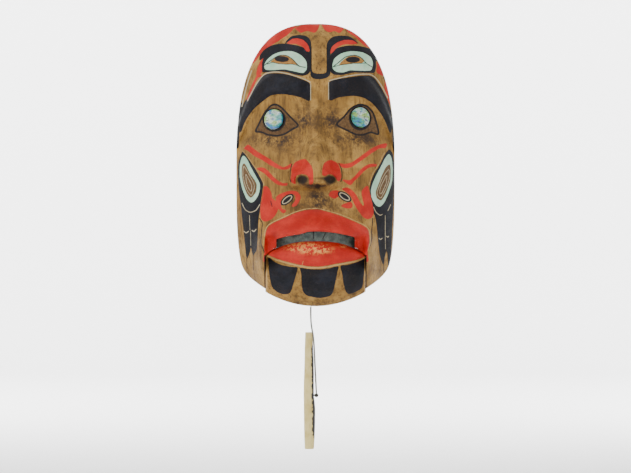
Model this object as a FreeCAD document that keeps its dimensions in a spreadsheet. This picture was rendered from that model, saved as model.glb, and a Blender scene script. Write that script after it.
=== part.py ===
import FreeCAD, Part
import math
import os

from FreeCAD import Placement, Rotation, Vector

# Carved wooden mask with a hinged lower jaw, opened by a cord and a whittled stick.
# Millimetres.  X is to the viewer's right, the face looks along -Y, Z is up.
# The flat back rim lies in the plane y = 0, against the wall.
# The origin is the mouth of the blind hanging hole in the back of the top rim.

DIMENSIONS = [
    # alias, value, meaning
    ("half_width", 87.2, "half width of the face at the cheeks"),
    ("crown_z", 8.0, "top of the face"),
    ("belt_z", -150.0, "height of the widest line of the face"),
    ("chin_z", -302.4, "lowest point of the chin"),
    ("tab_z", -299.0, "lowest point of the curve that the fixed cheeks follow"),
    ("chin_curve", 0.0052, "curvature of the chin outline"),
    ("cheek_taper", 6.5, "narrowing of the jaw line below the cheeks"),
    ("rim_depth", 42.0, "depth of the carved face at its outline"),
    ("dome_rise", 52.0, "rise of the face from the outline to its middle"),
    ("wall_side", 12.0, "thickness of the side walls"),
    ("wall_top", 16.0, "thickness of the top wall, which carries the hanging hole"),
    ("wall_front", 14.0, "thickness of the front wall at the middle"),
    ("hollow_rim", 28.0, "depth of the hollow at its outline"),
    ("nose_rise", 27.0, "height of the nose tip above the face"),
    ("nose_tip_z", -163.0, "height of the nose tip"),
    ("nose_base_z", -167.0, "where the nose turns under"),
    ("wing_x", 19.0, "nose wings from the middle"),
    ("wing_rise", 13.0, "height of the nose wings"),
    ("nostril_x", 15.6, "nostrils from the middle"),
    ("nostril_z", -165.4, "height of the nostrils"),
    ("nostril_depth_y", -111.0, "depth position of the nostril centres"),
    ("nostril_radius_x", 6.6, "half width of a nostril"),
    ("nostril_radius_y", 9.0, "depth of a nostril"),
    ("nostril_radius_z", 5.2, "half height of a nostril"),
    ("brow_rise", 6.0, "height of the brows"),
    ("socket_sink", 9.0, "depth of the eye sockets"),
    ("eyeball_rise", 8.0, "height of the eyeballs in their sockets"),
    ("eye_x", 47.0, "eye sockets from the middle"),
    ("eye_z", -99.0, "height of the eye sockets"),
    ("disc_left_x", -45.7, "left eye disc centre"),
    ("disc_left_z", -98.6, "left eye disc centre height"),
    ("disc_right_x", 49.2, "right eye disc centre"),
    ("disc_right_z", -96.5, "right eye disc centre height"),
    ("disc_radius", 11.0, "radius of an eye disc"),
    ("disc_thickness", 2.6, "thickness of an eye disc"),
    ("disc_recess", 1.6, "depth of the recess under an eye disc"),
    ("disc_clearance", 0.05, "glue line round an eye disc"),
    ("mouth_roof_z", -220.7, "upper lip edge at the middle"),
    ("mouth_drop", 7.0, "drop of the upper lip edge over most of its width"),
    ("mouth_half", 42.6, "half width of the gap over the tooth strip"),
    ("mouth_skew", 2.0, "how much lower the upper lip edge is on the left"),
    ("corner_gap", 0.8, "gap over the lower lip at the mouth corners"),
    ("corner_sink", 14.0, "depth of the scooped mouth corners"),
    ("groove_height", 3.2, "height of the groove that the tooth strip shuts into"),
    ("groove_gap", 1.1, "clearance before and behind the strip in its groove"),
    ("upper_lip_rise", 22.0, "flare of the upper lip"),
    ("slot_half", 55.2, "half width of the slot that the jaw works in"),
    ("jaw_half", 54.4, "half width of the jaw"),
    ("jaw_top_z", -229.5, "lower lip edge at the middle"),
    ("jaw_top_drop", 17.5, "drop of the lower lip edge towards its corners"),
    ("lower_lip_z", -244.5, "middle height of the lower lip"),
    ("lower_lip_half", 14.8, "half height of the lower lip at the middle"),
    ("lower_lip_rise", 20.0, "fullness of the lower lip"),
    ("chin_rise", 27.0, "fullness of the chin"),
    ("jaw_back_y", -42.0, "back edge of the jaw"),
    ("jaw_hollow_half", 42.0, "half width of the hollow in the jaw"),
    ("jaw_hollow_y", -28.7, "axis of the round hollow in the jaw"),
    ("jaw_hollow_radius", 66.3, "radius of the hollow behind the lower lip"),
    ("jaw_hollow_foot", 26.0, "radius of the hollow at the chin"),
    ("jaw_hollow_z", -252.0, "height where the hollow begins to taper"),
    ("pivot_y", -20.0, "hinge rod axis, depth"),
    ("pivot_z", -245.0, "hinge rod axis, height"),
    ("rod_radius", 2.5, "radius of the hinge rod"),
    ("rod_half", 64.0, "half length of the hinge rod"),
    ("rod_running_fit", 0.06, "radial clearance of the arms on the rod"),
    ("block_inner_x", 56.0, "inner face of a hinge block"),
    ("block_length", 26.0, "length of a hinge block before it is fitted to the wall"),
    ("block_depth", 18.0, "depth of a hinge block"),
    ("block_height", 24.0, "height of a hinge block"),
    ("spacer_radius", 5.0, "radius of a rod spacer"),
    ("spacer_length", 12.6, "length of a rod spacer"),
    ("spacer_x", 42.7, "inner end of a rod spacer"),
    ("arm_thickness", 5.0, "thickness of a jaw arm"),
    ("arm_half", 8.0, "half height of a jaw arm"),
    ("arm_front_y", -58.0, "front round of a jaw arm"),
    ("arm_front_z", -250.0, "height of the front round of a jaw arm"),
    ("screw_radius", 1.6, "radius of a screw shank"),
    ("screw_head_radius", 3.2, "radius of a screw head"),
    ("screw_head", 1.8, "thickness of a screw head"),
    ("arm_screw_grip", 8.0, "length of an arm screw in the jaw"),
    ("band_x", 0.0, "middle of the rubber band"),
    ("band_y", -74.0, "front edge of the rubber band"),
    ("band_width", 5.0, "width of the rubber band"),
    ("band_top_z", -192.0, "upper band screw height"),
    ("band_foot_z", -257.0, "lower band screw height"),
    ("band_inner", 1.75, "inner radius of the band at its ends"),
    ("band_outer", 3.35, "outer radius of the band at its ends"),
    ("band_screw_upper_length", 24.0, "length of the upper band screw"),
    ("band_screw_lower_length", 34.0, "length of the lower band screw"),
    ("strip_thickness", 3.0, "thickness of the tooth strip"),
    ("strip_bottom_z", -247.5, "lower edge of the tooth strip"),
    ("strip_reach", 1.4, "reach of the tooth strip into its groove"),
    ("strip_half", 41.6, "half width of the tooth strip"),
    ("tack_radius", 0.8, "radius of a tack shank"),
    ("tack_head_radius", 2.0, "radius of a tack head"),
    ("tack_head", 0.8, "thickness of a tack head"),
    ("tack_grip", 8.0, "length of a tack below its head"),
    ("tack_z", -241.0, "height of the tacks"),
    ("eyelet_x", -5.2, "screw eye, from the middle"),
    ("eyelet_y", -50.0, "centre of the screw eye ring, depth"),
    ("eyelet_z", -292.0, "centre of the screw eye ring, height"),
    ("eyelet_ring", 3.5, "centreline radius of the screw eye ring"),
    ("eyelet_wire", 0.9, "wire radius of the screw eye"),
    ("eyelet_shank", 22.0, "length of the screw eye shank"),
    ("loop_radius", 2.8, "centreline radius of the cord loop"),
    ("cord_radius", 0.95, "radius of the cord"),
    ("knot_radius", 1.9, "half width of the upper knot"),
    ("knot_half", 2.4, "half height of the upper knot"),
    ("end_knot_radius", 2.2, "radius of the knot at the stick"),
    ("stick_x", -7.2, "middle of the stick"),
    ("stick_y", -50.6, "depth position of the stick"),
    ("stick_top_z", -331.2, "upper end of the stick"),
    ("stick_foot_z", -459.4, "lower end of the stick"),
    ("stick_half", 6.2, "half width of the stick at its thickest"),
    ("stick_hole_z", -400.5, "height of the cross hole in the stick"),
    ("stick_hole_radius", 1.05, "radius of the cross hole"),
    ("stick_hole_length", 9.0, "depth of the cross hole"),
    ("hang_radius", 2.6, "radius of the hanging hole"),
    ("hang_depth", 11.0, "depth of the hanging hole"),
    ("tie_radius", 2.0, "radius of a tie hole"),
    ("tie_y", -14.0, "tie holes from the back rim"),
    ("tie_z", -99.0, "height of the tie holes"),
]

doc = FreeCAD.newDocument("carved_mask")
sheet = doc.addObject("Spreadsheet::Sheet", "Dimensions")
for row, (alias, value, meaning) in enumerate(DIMENSIONS, start=1):
    sheet.set(f"A{row}", meaning)
    sheet.set(f"B{row}", str(value))
    sheet.setAlias(f"B{row}", alias)
doc.recompute()


def dim(alias):
    """Value of one driving dimension, in millimetres."""
    return float(sheet.get(alias))


def ref(alias, sign=1):
    """Expression that follows one driving dimension."""
    return f"Dimensions.{alias}" if sign > 0 else f"-Dimensions.{alias}"


# ---------------------------------------------------------------- the carved form
def step(value, low, high):
    """Smooth 0 to 1 as value goes from low to high."""
    share = min(1.0, max(0.0, (value - low) / (high - low)))
    return share * share * (3.0 - 2.0 * share)


def bump(value, centre, half, power=2):
    """1 at the centre, falling away over the half width."""
    return math.exp(-abs((value - centre) / half) ** power)


def dome(x, z, half, crown, chin, rim, rise):
    """Plain rounded face, as a height above the back rim."""
    belt = dim("belt_z")
    reach = crown - belt if z > belt else belt - chin
    spread = ((abs(x) / half) ** 2.6 + (abs(z - belt) / reach) ** 2.6) ** (1 / 2.6)
    return rim + rise * (1.0 - spread ** 3.2)


def mouth_roof(x):
    """Height of the upper lip edge."""
    return (dim("mouth_roof_z") - dim("mouth_drop") * (x / 45.0) ** 2
            - dim("mouth_skew") * step(-x, 6.0, 18.0))


def lower_lip_edge(x):
    """Height of the lower lip edge."""
    return dim("jaw_top_z") - dim("jaw_top_drop") * (abs(x) / dim("jaw_half")) ** 2.8


def outer_dome(x, z):
    """Rounded face without its features."""
    return dome(x, z, dim("half_width"), dim("crown_z"), dim("chin_z"),
                dim("rim_depth"), dim("dome_rise"))


def chin_swell(x, z):
    """Fullness shared by the chin and the cheeks beside it."""
    fade = 1.0 - step(abs(x), 50.0, 78.0)
    return dim("chin_rise") * step(-z, 238.0, 268.0) * fade


def face_height(x, z):
    """Carved front of the fixed part of the mask."""
    side = abs(x)
    height = outer_dome(x, z)
    lift = dim("nose_rise") * step(-z, 82.0, -dim("nose_tip_z")) ** 1.2
    under = 1.0 - step(-z, -dim("nose_base_z"), -dim("nose_base_z") + 11.0)
    ridge_half = 9.0 + 6.0 * step(-z, 110.0, 165.0)
    height += lift * under * bump(side, 0.0, ridge_half, 3)
    wing = bump(side, dim("wing_x"), 8.5, 4) * bump(z, dim("nose_tip_z") - 1.0, 10.0, 4)
    height += dim("wing_rise") * under * wing
    outward = max(0.0, side - 38.0)
    brow_z = -58.0 - 0.0155 * (side - 38.0) ** 2 - 0.00022 * outward ** 3
    height += dim("brow_rise") * bump(z, brow_z, 13.0, 6) * step(side, 6.0, 20.0)
    socket = bump(side, dim("eye_x"), 36.0, 4) * bump(z, dim("eye_z") - 2.0, 20.0, 4)
    height -= dim("socket_sink") * socket
    ball = bump(side, dim("eye_x"), 25.0, 3) * bump(z, dim("eye_z"), 15.5, 3)
    height += dim("eyeball_rise") * ball
    height += 4.0 * bump(side, 52.0, 24.0) * bump(z, -165.0, 30.0)
    above = max(0.0, z - mouth_roof(x))
    lip = bump(above, 0.0, 14.0) * (1.0 - step(side, 54.0, 72.0))
    below = 1.0 - step(mouth_roof(x) - z, 6.0, 40.0)
    height += dim("upper_lip_rise") * lip * below
    height -= dim("corner_sink") * bump(side, 48.5, 6.5, 4) * bump(z, -235.0, 10.0, 4)
    return height + chin_swell(x, z)


def jaw_height(x, z):
    """Carved front of the jaw: the lower lip over the chin."""
    share = (x / 54.0) ** 2
    middle = dim("lower_lip_z") - 1.5 * share
    half = max(dim("lower_lip_half") * (1.0 - share), 3.0) + 1.0
    lip = bump(z, middle, half * 0.95, 3) * (1.0 - 0.35 * share)
    return outer_dome(x, z) + chin_swell(x, z) + dim("lower_lip_rise") * lip


def hollow_height(x, z):
    """Inside of the mask, as a height above the back rim."""
    half = dim("half_width") - dim("wall_side")
    crown = dim("crown_z") - dim("wall_top")
    chin = dim("chin_z") + dim("wall_side")
    rise = dim("rim_depth") + dim("dome_rise") - dim("wall_front") - dim("hollow_rim")
    return dome(x, z, half, crown, chin, dim("hollow_rim"), rise)


def outline_half(z, half, crown, chin):
    """Half width of the front outline at one height."""
    belt = dim("belt_z")
    if z >= belt:
        share = (z - belt) / (crown - belt)
        side = half * max(0.0, 1.0 - share ** 2.6) ** (1 / 2.6)
    else:
        side = half - dim("cheek_taper") * (max(0.0, -172.0 - z) / 96.0) ** 3
    base = math.sqrt(max(z - chin, 0.0) / dim("chin_curve"))
    if min(side, base) < 1e-6:
        return 0.0
    return (side ** -18 + base ** -18) ** (-1 / 18)


def outline_prism(half, crown, chin, front_y, back_y, count=34):
    """Solid whose front view is the outline, between two depths."""
    middle = (crown + chin) / 2.0
    reach = (crown - chin) / 2.0
    right = []
    for index in range(count + 1):
        angle = math.pi * index / count
        z = middle + reach * math.cos(angle)
        inner = 0 < index < count
        right.append((outline_half(z, half, crown, chin) if inner else 0.0, z))
    left = [(-x, z) for x, z in reversed(right[1:-1])]
    curve = Part.BSplineCurve()
    points = [Vector(x, front_y, z) for x, z in right + left]
    curve.interpolate(Points=points, PeriodicFlag=True)
    face = Part.Face(Part.Wire([curve.toShape()]))
    return face.extrude(Vector(0, back_y - front_y, 0))


def relief(height, half_x, low_z, high_z, spacing):
    """Solid behind a carved front, reaching back past the rim plane."""
    columns = int(round(2 * half_x / spacing))
    rows = int(round((high_z - low_z) / spacing))
    grid = []
    for column in range(columns + 1):
        x = -half_x + 2 * half_x * column / columns
        line = []
        for row in range(rows + 1):
            z = low_z + (high_z - low_z) * row / rows
            line.append(Vector(x, -height(x, z), z))
        grid.append(line)
    surface = Part.BSplineSurface()
    surface.interpolate(grid)
    return surface.toShape().extrude(Vector(0, 180, 0))


def window(edge, half, low_z, front_y=-150.0, back_y=10.0, count=12):
    """Straight-sided opening whose top follows a curve."""
    top = []
    for index in range(count + 1):
        x = half - 2 * half * index / count
        top.append(Vector(x, front_y, edge(x)))
    curve = Part.BSplineCurve()
    curve.interpolate(Points=top)
    foot_right = Vector(half, front_y, low_z)
    foot_left = Vector(-half, front_y, low_z)
    edges = [Part.makeLine(foot_right, top[0]), curve.toShape(),
             Part.makeLine(top[-1], foot_left), Part.makeLine(foot_left, foot_right)]
    return Part.Face(Part.Wire(edges)).extrude(Vector(0, back_y - front_y, 0))


def curve_edge(edge, start, end, front_y, count):
    """Smooth edge through points whose height follows a function of x."""
    curve = Part.BSplineCurve()
    places = [start + (end - start) * index / count for index in range(count + 1)]
    curve.interpolate(Points=[Vector(x, front_y, edge(x)) for x in places])
    return curve.toShape()


def corner_edge(x):
    """Height of the fixed wood over the lower lip at the mouth corners."""
    return lower_lip_edge(x) + dim("corner_gap")


def mouth_opening(low_z, front_y=-150.0, back_y=10.0):
    """Slot that the jaw works in, with a higher gap for the tooth strip."""
    outer, inner = dim("slot_half"), dim("mouth_half")
    foot_right = Vector(outer, front_y, low_z)
    foot_left = Vector(-outer, front_y, low_z)

    def corner(x, edge):
        return Vector(x, front_y, edge(x))

    edges = [Part.makeLine(foot_right, corner(outer, corner_edge)),
             curve_edge(corner_edge, outer, inner, front_y, 5),
             Part.makeLine(corner(inner, corner_edge), corner(inner, mouth_roof)),
             curve_edge(mouth_roof, inner, -inner, front_y, 24),
             Part.makeLine(corner(-inner, mouth_roof), corner(-inner, corner_edge)),
             curve_edge(corner_edge, -inner, -outer, front_y, 5),
             Part.makeLine(corner(-outer, corner_edge), foot_left),
             Part.makeLine(foot_left, foot_right)]
    return Part.Face(Part.Wire(edges)).extrude(Vector(0, back_y - front_y, 0))


def surface_frame(height, x, z):
    """Point on a carved front and its outward direction."""
    small = 0.5
    slope_x = (height(x + small, z) - height(x - small, z)) / (2 * small)
    slope_z = (height(x, z + small) - height(x, z - small)) / (2 * small)
    normal = Vector(-slope_x, -1.0, -slope_z)
    normal.normalize()
    return Vector(x, -height(x, z), z), normal


# ------------------------------------------------------------ document helpers
def shape_object(name, shape):
    """Freeform solid kept in the document."""
    item = doc.addObject("Part::Feature", name)
    item.Shape = shape
    item.Placement = Placement()
    return item


def seat(item, base, rotation=None):
    """Place an object; its position follows three expressions."""
    item.Placement = Placement(Vector(0, 0, 0), rotation or Rotation())
    for axis, expression in zip("xyz", base):
        item.setExpression(f"Placement.Base.{axis}", str(expression))
    return item


def cylinder(name, radius, height, base, axis):
    """Cylinder whose sizes and base point follow expressions."""
    item = doc.addObject("Part::Cylinder", name)
    item.setExpression("Radius", radius)
    item.setExpression("Height", height)
    return seat(item, base, Rotation(Vector(0, 0, 1), Vector(*axis)))


def box(name, length, width, height, base):
    """Box whose sizes and corner follow expressions."""
    item = doc.addObject("Part::Box", name)
    item.setExpression("Length", length)
    item.setExpression("Width", width)
    item.setExpression("Height", height)
    return seat(item, base)


def ellipsoid(name, radii, base):
    """Full ellipsoid; radii are given along X, Y and Z."""
    item = doc.addObject("Part::Ellipsoid", name)
    item.setExpression("Radius2", radii[0])
    item.setExpression("Radius3", radii[1])
    item.setExpression("Radius1", radii[2])
    item.Angle1 = -90
    item.Angle2 = 90
    item.Angle3 = 360
    return seat(item, base)


def torus(name, radius, wire, base, axis):
    """Ring whose sizes and centre follow expressions."""
    item = doc.addObject("Part::Torus", name)
    item.setExpression("Radius1", radius)
    item.setExpression("Radius2", wire)
    return seat(item, base, Rotation(Vector(0, 0, 1), Vector(*axis)))


def fuse(name, items):
    """Union of several objects."""
    item = doc.addObject("Part::MultiFuse", name)
    item.Shapes = items
    return item


def cut(name, base, tool):
    """One object cut from another."""
    item = doc.addObject("Part::Cut", name)
    item.Base = base
    item.Tool = tool
    return item


def common(name, items):
    """Volume shared by several objects."""
    item = doc.addObject("Part::MultiCommon", name)
    item.Shapes = items
    return item


def group(name, items):
    """Identical fasteners kept as separate solids in one node."""
    item = doc.addObject("Part::Compound", name)
    item.Links = items
    return item


def screw(name, point, axis, length, radius="screw_radius",
          head_radius="screw_head_radius", head="screw_head"):
    """Round-headed screw; the point is under the head, the axis leads to the tip."""
    along = Vector(*axis)
    along.normalize()
    back = along * -1
    base = (point.x, point.y, point.z)
    shank = cylinder(f"{name}_shank", ref(radius), length, base, tuple(along))
    cap = cylinder(f"{name}_cap", ref(head_radius), ref(head), base, tuple(back))
    return fuse(name, [shank, cap])


def drill(name, point, axis, length, radius="screw_radius"):
    """Clearance for a screw shank."""
    along = Vector(*axis)
    along.normalize()
    base = (point.x, point.y, point.z)
    return cylinder(name, f"{ref(radius)} + 0.02", f"{length} + 0.3", base, tuple(along))


nodes = []


def keep(item, label):
    """Name an object as one piece of the mask."""
    item.Label = label
    nodes.append(item)
    return item


# ------------------------------------------------------------------ eye discs
disc_pockets = []
for side in ("left", "right"):
    disc_x = dim(f"disc_{side}_x")
    disc_z = dim(f"disc_{side}_z")
    on_face, outward = surface_frame(face_height, disc_x, disc_z)
    foot = on_face - outward * dim("disc_recess")
    foot_base = (foot.x, foot.y, foot.z)
    disc = cylinder(f"eye_disc_{side}_body", ref("disc_radius"), ref("disc_thickness"),
                    foot_base, tuple(outward))
    keep(disc, f"eye_disc_{side}")
    pocket = cylinder(f"disc_pocket_{side}", "Dimensions.disc_radius + Dimensions.disc_clearance",
                      "14", foot_base, tuple(outward))
    disc_pockets.append(pocket)

# ------------------------------------------------------------------ mask shell
GRID_HALF = 92.0
GRID_LOW = -308.0
GRID_HIGH = 12.0
carved = relief(face_height, GRID_HALF, GRID_LOW, GRID_HIGH, 4.0)
outer_outline = outline_prism(dim("half_width"), dim("crown_z"), dim("tab_z"), -150.0, 0.0)
face_block = shape_object("face_block", carved.common(outer_outline))

hollow_outline = outline_prism(dim("half_width") - dim("wall_side"),
                               dim("crown_z") - dim("wall_top"),
                               dim("chin_z") + dim("wall_side"), -150.0, 20.0)
inside = relief(hollow_height, GRID_HALF, GRID_LOW, GRID_HIGH, 8.0)
hollow = shape_object("hollow", inside.common(hollow_outline))
jaw_slot = shape_object("jaw_slot", mouth_opening(-330.0))

throat_axis = ("0", ref("jaw_hollow_y"))
groove_outer = cylinder("groove_outer", "Dimensions.jaw_hollow_radius + Dimensions.groove_gap",
                        "60", throat_axis + ("-262",), (0, 0, 1))
groove_inner = cylinder("groove_inner", "Dimensions.jaw_hollow_radius"
                        " - Dimensions.strip_thickness - Dimensions.groove_gap",
                        "60", throat_axis + ("-262",), (0, 0, 1))
groove_ring = cut("groove_ring", groove_outer, groove_inner)


def groove_edge(x):
    """Height of the top of the groove that the tooth strip shuts into."""
    return mouth_roof(x) + dim("groove_height")


groove_window = shape_object("groove_window", window(groove_edge, dim("mouth_half"),
                                                     -260.0, -120.0, -60.0, 24))
lip_groove = common("lip_groove", [groove_ring, groove_window])

hanging_hole = cylinder("hanging_hole", ref("hang_radius"), ref("hang_depth"),
                        ("0", "0", "0"), (0, -1, 0))
tie_holes = []
for side, sign in (("left", -1), ("right", 1)):
    start = f"{sign * 100}"
    tie_holes.append(cylinder(f"tie_hole_{side}", ref("tie_radius"), "45",
                              (start, ref("tie_y"), ref("tie_z")), (-sign, 0, 0)))
nostrils = []
for side, sign in (("left", -1), ("right", 1)):
    radii = [ref(f"nostril_radius_{axis}") for axis in "xyz"]
    nostrils.append(ellipsoid(f"nostril_{side}", radii,
                              (ref("nostril_x", sign), ref("nostril_depth_y"),
                               ref("nostril_z"))))

upper_point = Vector(dim("band_x"), dim("band_y") + dim("band_width") + 0.6, dim("band_top_z"))
upper_hole = drill("upper_screw_hole", upper_point, (0, -1, 0), ref("band_screw_upper_length"))

shell_tools = fuse("shell_tools", [hollow, jaw_slot, lip_groove, hanging_hole] + tie_holes
                   + nostrils + disc_pockets + [upper_hole])
mask_shell = keep(cut("mask_shell_body", face_block, shell_tools), "mask_shell")

# ------------------------------------------------------------------ hinge
rod = cylinder("hinge_rod_body", ref("rod_radius"), "2 * Dimensions.rod_half",
               (ref("rod_half", -1), ref("pivot_y"), ref("pivot_z")), (1, 0, 0))
keep(rod, "hinge_rod")
for side, sign in (("left", -1), ("right", 1)):
    inner = "Dimensions.block_inner_x"
    corner_x = inner if sign > 0 else f"-{inner} - Dimensions.block_length"
    blank = box(f"hinge_blank_{side}", ref("block_length"), ref("block_depth"),
                ref("block_height"),
                (corner_x, "Dimensions.pivot_y - Dimensions.block_depth / 2",
                 "Dimensions.pivot_z - Dimensions.block_height / 2"))
    fitted = common(f"hinge_fitted_{side}", [blank, hollow])
    bore = cylinder(f"hinge_bore_{side}", "Dimensions.rod_radius + 0.02",
                    "Dimensions.rod_half - Dimensions.block_inner_x + 0.3",
                    (ref("block_inner_x", sign), ref("pivot_y"), ref("pivot_z")), (sign, 0, 0))
    keep(cut(f"hinge_block_{side}_body", fitted, bore), f"hinge_block_{side}")

spacers = []
for side, sign in (("left", -1), ("right", 1)):
    at = (ref("spacer_x", sign), ref("pivot_y"), ref("pivot_z"))
    sleeve = cylinder(f"sleeve_{side}", ref("spacer_radius"), ref("spacer_length"), at,
                      (sign, 0, 0))
    bore = cylinder(f"sleeve_bore_{side}", "Dimensions.rod_radius + 0.02",
                    ref("spacer_length"), at, (sign, 0, 0))
    spacers.append(cut(f"spacer_{side}", sleeve, bore))
keep(group("rod_spacers_body", spacers), "rod_spacers")

# ------------------------------------------------------------------ jaw arms
arm_screw_points = []
for side, sign in (("left", -1), ("right", 1)):
    body = doc.addObject("PartDesign::Body", f"jaw_arm_{side}_body")
    sketch = body.newObject("Sketcher::SketchObject", f"arm_profile_{side}")
    for feature in body.Origin.OriginFeatures:
        if feature.Role == "YZ_Plane":
            sketch.AttachmentSupport = [(feature, "")]
    sketch.MapMode = "FlatFace"
    back = Vector(dim("pivot_y"), dim("pivot_z"), 0)
    front = Vector(dim("arm_front_y"), dim("arm_front_z"), 0)
    run = front - back
    lean = math.degrees(math.atan2(run.y, run.x))
    across = Vector(-run.y, run.x, 0)
    across.normalize()
    reach = across * dim("arm_half")
    turn = math.radians(lean)
    arc_back = Part.ArcOfCircle(Part.Circle(back, Vector(0, 0, 1), dim("arm_half")),
                                turn + math.pi / 2, turn + 3 * math.pi / 2)
    arc_front = Part.ArcOfCircle(Part.Circle(front, Vector(0, 0, 1), dim("arm_half")),
                                 turn - math.pi / 2, turn + math.pi / 2)
    sketch.addGeometry(arc_back, False)
    sketch.addGeometry(arc_front, False)
    sketch.addGeometry(Part.LineSegment(back + reach, front + reach), False)
    sketch.addGeometry(Part.LineSegment(back - reach, front - reach), False)
    sketch.addGeometry(Part.Circle(back, Vector(0, 0, 1),
                                   dim("rod_radius") + dim("rod_running_fit")), False)
    holes = []
    for share in (0.77, 1.0):
        spot = back + run * share
        holes.append(spot)
        sketch.addGeometry(Part.Circle(spot, Vector(0, 0, 1), dim("screw_radius") + 0.02), False)
    pad = body.newObject("PartDesign::Pad", f"arm_pad_{side}")
    pad.Profile = sketch
    pad.setExpression("Length", ref("arm_thickness"))
    pad.Reversed = sign < 0
    body.Tip = pad
    seat(body, ("Dimensions.jaw_hollow_half - Dimensions.arm_thickness" if sign > 0 else
                "Dimensions.arm_thickness - Dimensions.jaw_hollow_half", "0", "0"))
    keep(body, f"jaw_arm_{side}")
    face_x = sign * (dim("jaw_hollow_half") - dim("arm_thickness"))
    for spot in holes:
        arm_screw_points.append((Vector(face_x, spot.x, spot.y), (sign, 0, 0)))

arm_screw_length = "Dimensions.arm_thickness + Dimensions.arm_screw_grip"
arm_screws = []
arm_holes = []
for index, (point, axis) in enumerate(arm_screw_points, start=1):
    arm_screws.append(screw(f"arm_screw_{index}", point, axis, arm_screw_length))
    arm_holes.append(drill(f"arm_screw_hole_{index}", point, axis, arm_screw_length))
keep(group("arm_screws_body", arm_screws), "arm_screws")

# ------------------------------------------------------------------ jaw
jaw_front = relief(jaw_height, GRID_HALF, GRID_LOW, -216.0, 4.0)
jaw_outline = outline_prism(dim("half_width"), dim("crown_z"), dim("chin_z"),
                            -150.0, dim("jaw_back_y"))
jaw_window = window(lower_lip_edge, dim("jaw_half"), -330.0)
jaw_blank = jaw_front.common(jaw_outline).common(jaw_window)
jaw_block = shape_object("jaw_block", jaw_blank)

throat_top = cylinder("throat_top", ref("jaw_hollow_radius"), "50",
                      throat_axis + (ref("jaw_hollow_z"),), (0, 0, 1))
throat_foot = doc.addObject("Part::Cone", "throat_foot")
throat_foot.setExpression("Radius1", ref("jaw_hollow_foot"))
throat_foot.setExpression("Radius2", ref("jaw_hollow_radius"))
throat_foot.setExpression("Height", "Dimensions.jaw_hollow_z - Dimensions.chin_z + 0.6")
seat(throat_foot, throat_axis + ("Dimensions.chin_z - 0.6",))
throat_round = fuse("throat_round", [throat_top, throat_foot])
throat_sides = box("throat_sides", "2 * Dimensions.jaw_hollow_half", "120", "110",
                   (ref("jaw_hollow_half", -1), "-110", "-310"))
throat = common("throat", [throat_round, throat_sides])

lower_point = Vector(dim("band_x"), dim("band_y") + dim("band_width") + 0.6, dim("band_foot_z"))
lower_hole = drill("lower_screw_hole", lower_point, (0, -1, 0), ref("band_screw_lower_length"))

tack_points = []
for angle in (-28.0, -9.0, 9.0, 28.0):
    turn = math.radians(angle)
    axis = (math.sin(turn), -math.cos(turn), 0.0)
    reach = dim("jaw_hollow_radius") - dim("strip_thickness") - 0.05
    point = Vector(reach * axis[0], dim("jaw_hollow_y") + reach * axis[1], dim("tack_z"))
    tack_points.append((point, axis))
tacks = []
tack_holes = []
for index, (point, axis) in enumerate(tack_points, start=1):
    tacks.append(screw(f"tack_{index}", point, axis, ref("tack_grip"), "tack_radius",
                       "tack_head_radius", "tack_head"))
    tack_holes.append(drill(f"tack_hole_{index}", point, axis, ref("tack_grip"), "tack_radius"))
keep(group("strip_tacks_body", tacks), "strip_tacks")

eyelet_point = Vector(dim("eyelet_x"), dim("eyelet_y") - dim("eyelet_ring"), dim("eyelet_z"))
eyelet_hole = drill("eyelet_hole", eyelet_point, (0, -1, 0), ref("eyelet_shank"),
                    "eyelet_wire")
jaw_tools = fuse("jaw_tools", [throat, lower_hole, eyelet_hole] + tack_holes + arm_holes)
keep(cut("jaw_body", jaw_block, jaw_tools), "jaw")

# ------------------------------------------------------------------ tooth strip
strip_outer = cylinder("strip_outer", ref("jaw_hollow_radius"), "50",
                       throat_axis + ("-262",), (0, 0, 1))
strip_inner = cylinder("strip_inner", "Dimensions.jaw_hollow_radius - Dimensions.strip_thickness",
                       "50", throat_axis + ("-262",), (0, 0, 1))
strip_ring = cut("strip_ring", strip_outer, strip_inner)


def strip_edge(x):
    """Height of the upper edge of the tooth strip."""
    return mouth_roof(x) + dim("strip_reach")


strip_window = shape_object("strip_window", window(strip_edge, dim("strip_half"),
                                                   dim("strip_bottom_z"), -120.0, -60.0, 24))
strip_blank = common("strip_blank", [strip_ring, strip_window])
strip_holes = fuse("strip_holes", [drill(f"strip_hole_{index}", point, axis,
                                         ref("tack_grip"), "tack_radius")
                                   for index, (point, axis) in enumerate(tack_points, 1)])
keep(cut("tooth_strip_body", strip_blank, strip_holes), "tooth_strip")

# ------------------------------------------------------------------ rubber band
keep(screw("band_screw_upper_body", upper_point, (0, -1, 0), ref("band_screw_upper_length")),
     "band_screw_upper")
keep(screw("band_screw_lower_body", lower_point, (0, -1, 0), ref("band_screw_lower_length")),
     "band_screw_lower")

band = doc.addObject("PartDesign::Body", "return_band_body")
band_sketch = band.newObject("Sketcher::SketchObject", "band_profile")
for feature in band.Origin.OriginFeatures:
    if feature.Role == "XZ_Plane":
        band_sketch.AttachmentSupport = [(feature, "")]
band_sketch.MapMode = "FlatFace"
band_top = Vector(dim("band_x"), dim("band_top_z"), 0)
band_foot = Vector(dim("band_x"), dim("band_foot_z"), 0)
for radius in (dim("band_outer"), dim("band_inner")):
    sideways = Vector(radius, 0, 0)
    upper_arc = Part.ArcOfCircle(Part.Circle(band_top, Vector(0, 0, 1), radius), 0, math.pi)
    lower_arc = Part.ArcOfCircle(Part.Circle(band_foot, Vector(0, 0, 1), radius),
                                 math.pi, 2 * math.pi)
    band_sketch.addGeometry(upper_arc, False)
    band_sketch.addGeometry(lower_arc, False)
    band_sketch.addGeometry(Part.LineSegment(band_top + sideways, band_foot + sideways), False)
    band_sketch.addGeometry(Part.LineSegment(band_top - sideways, band_foot - sideways), False)
band_pad = band.newObject("PartDesign::Pad", "band_pad")
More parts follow.
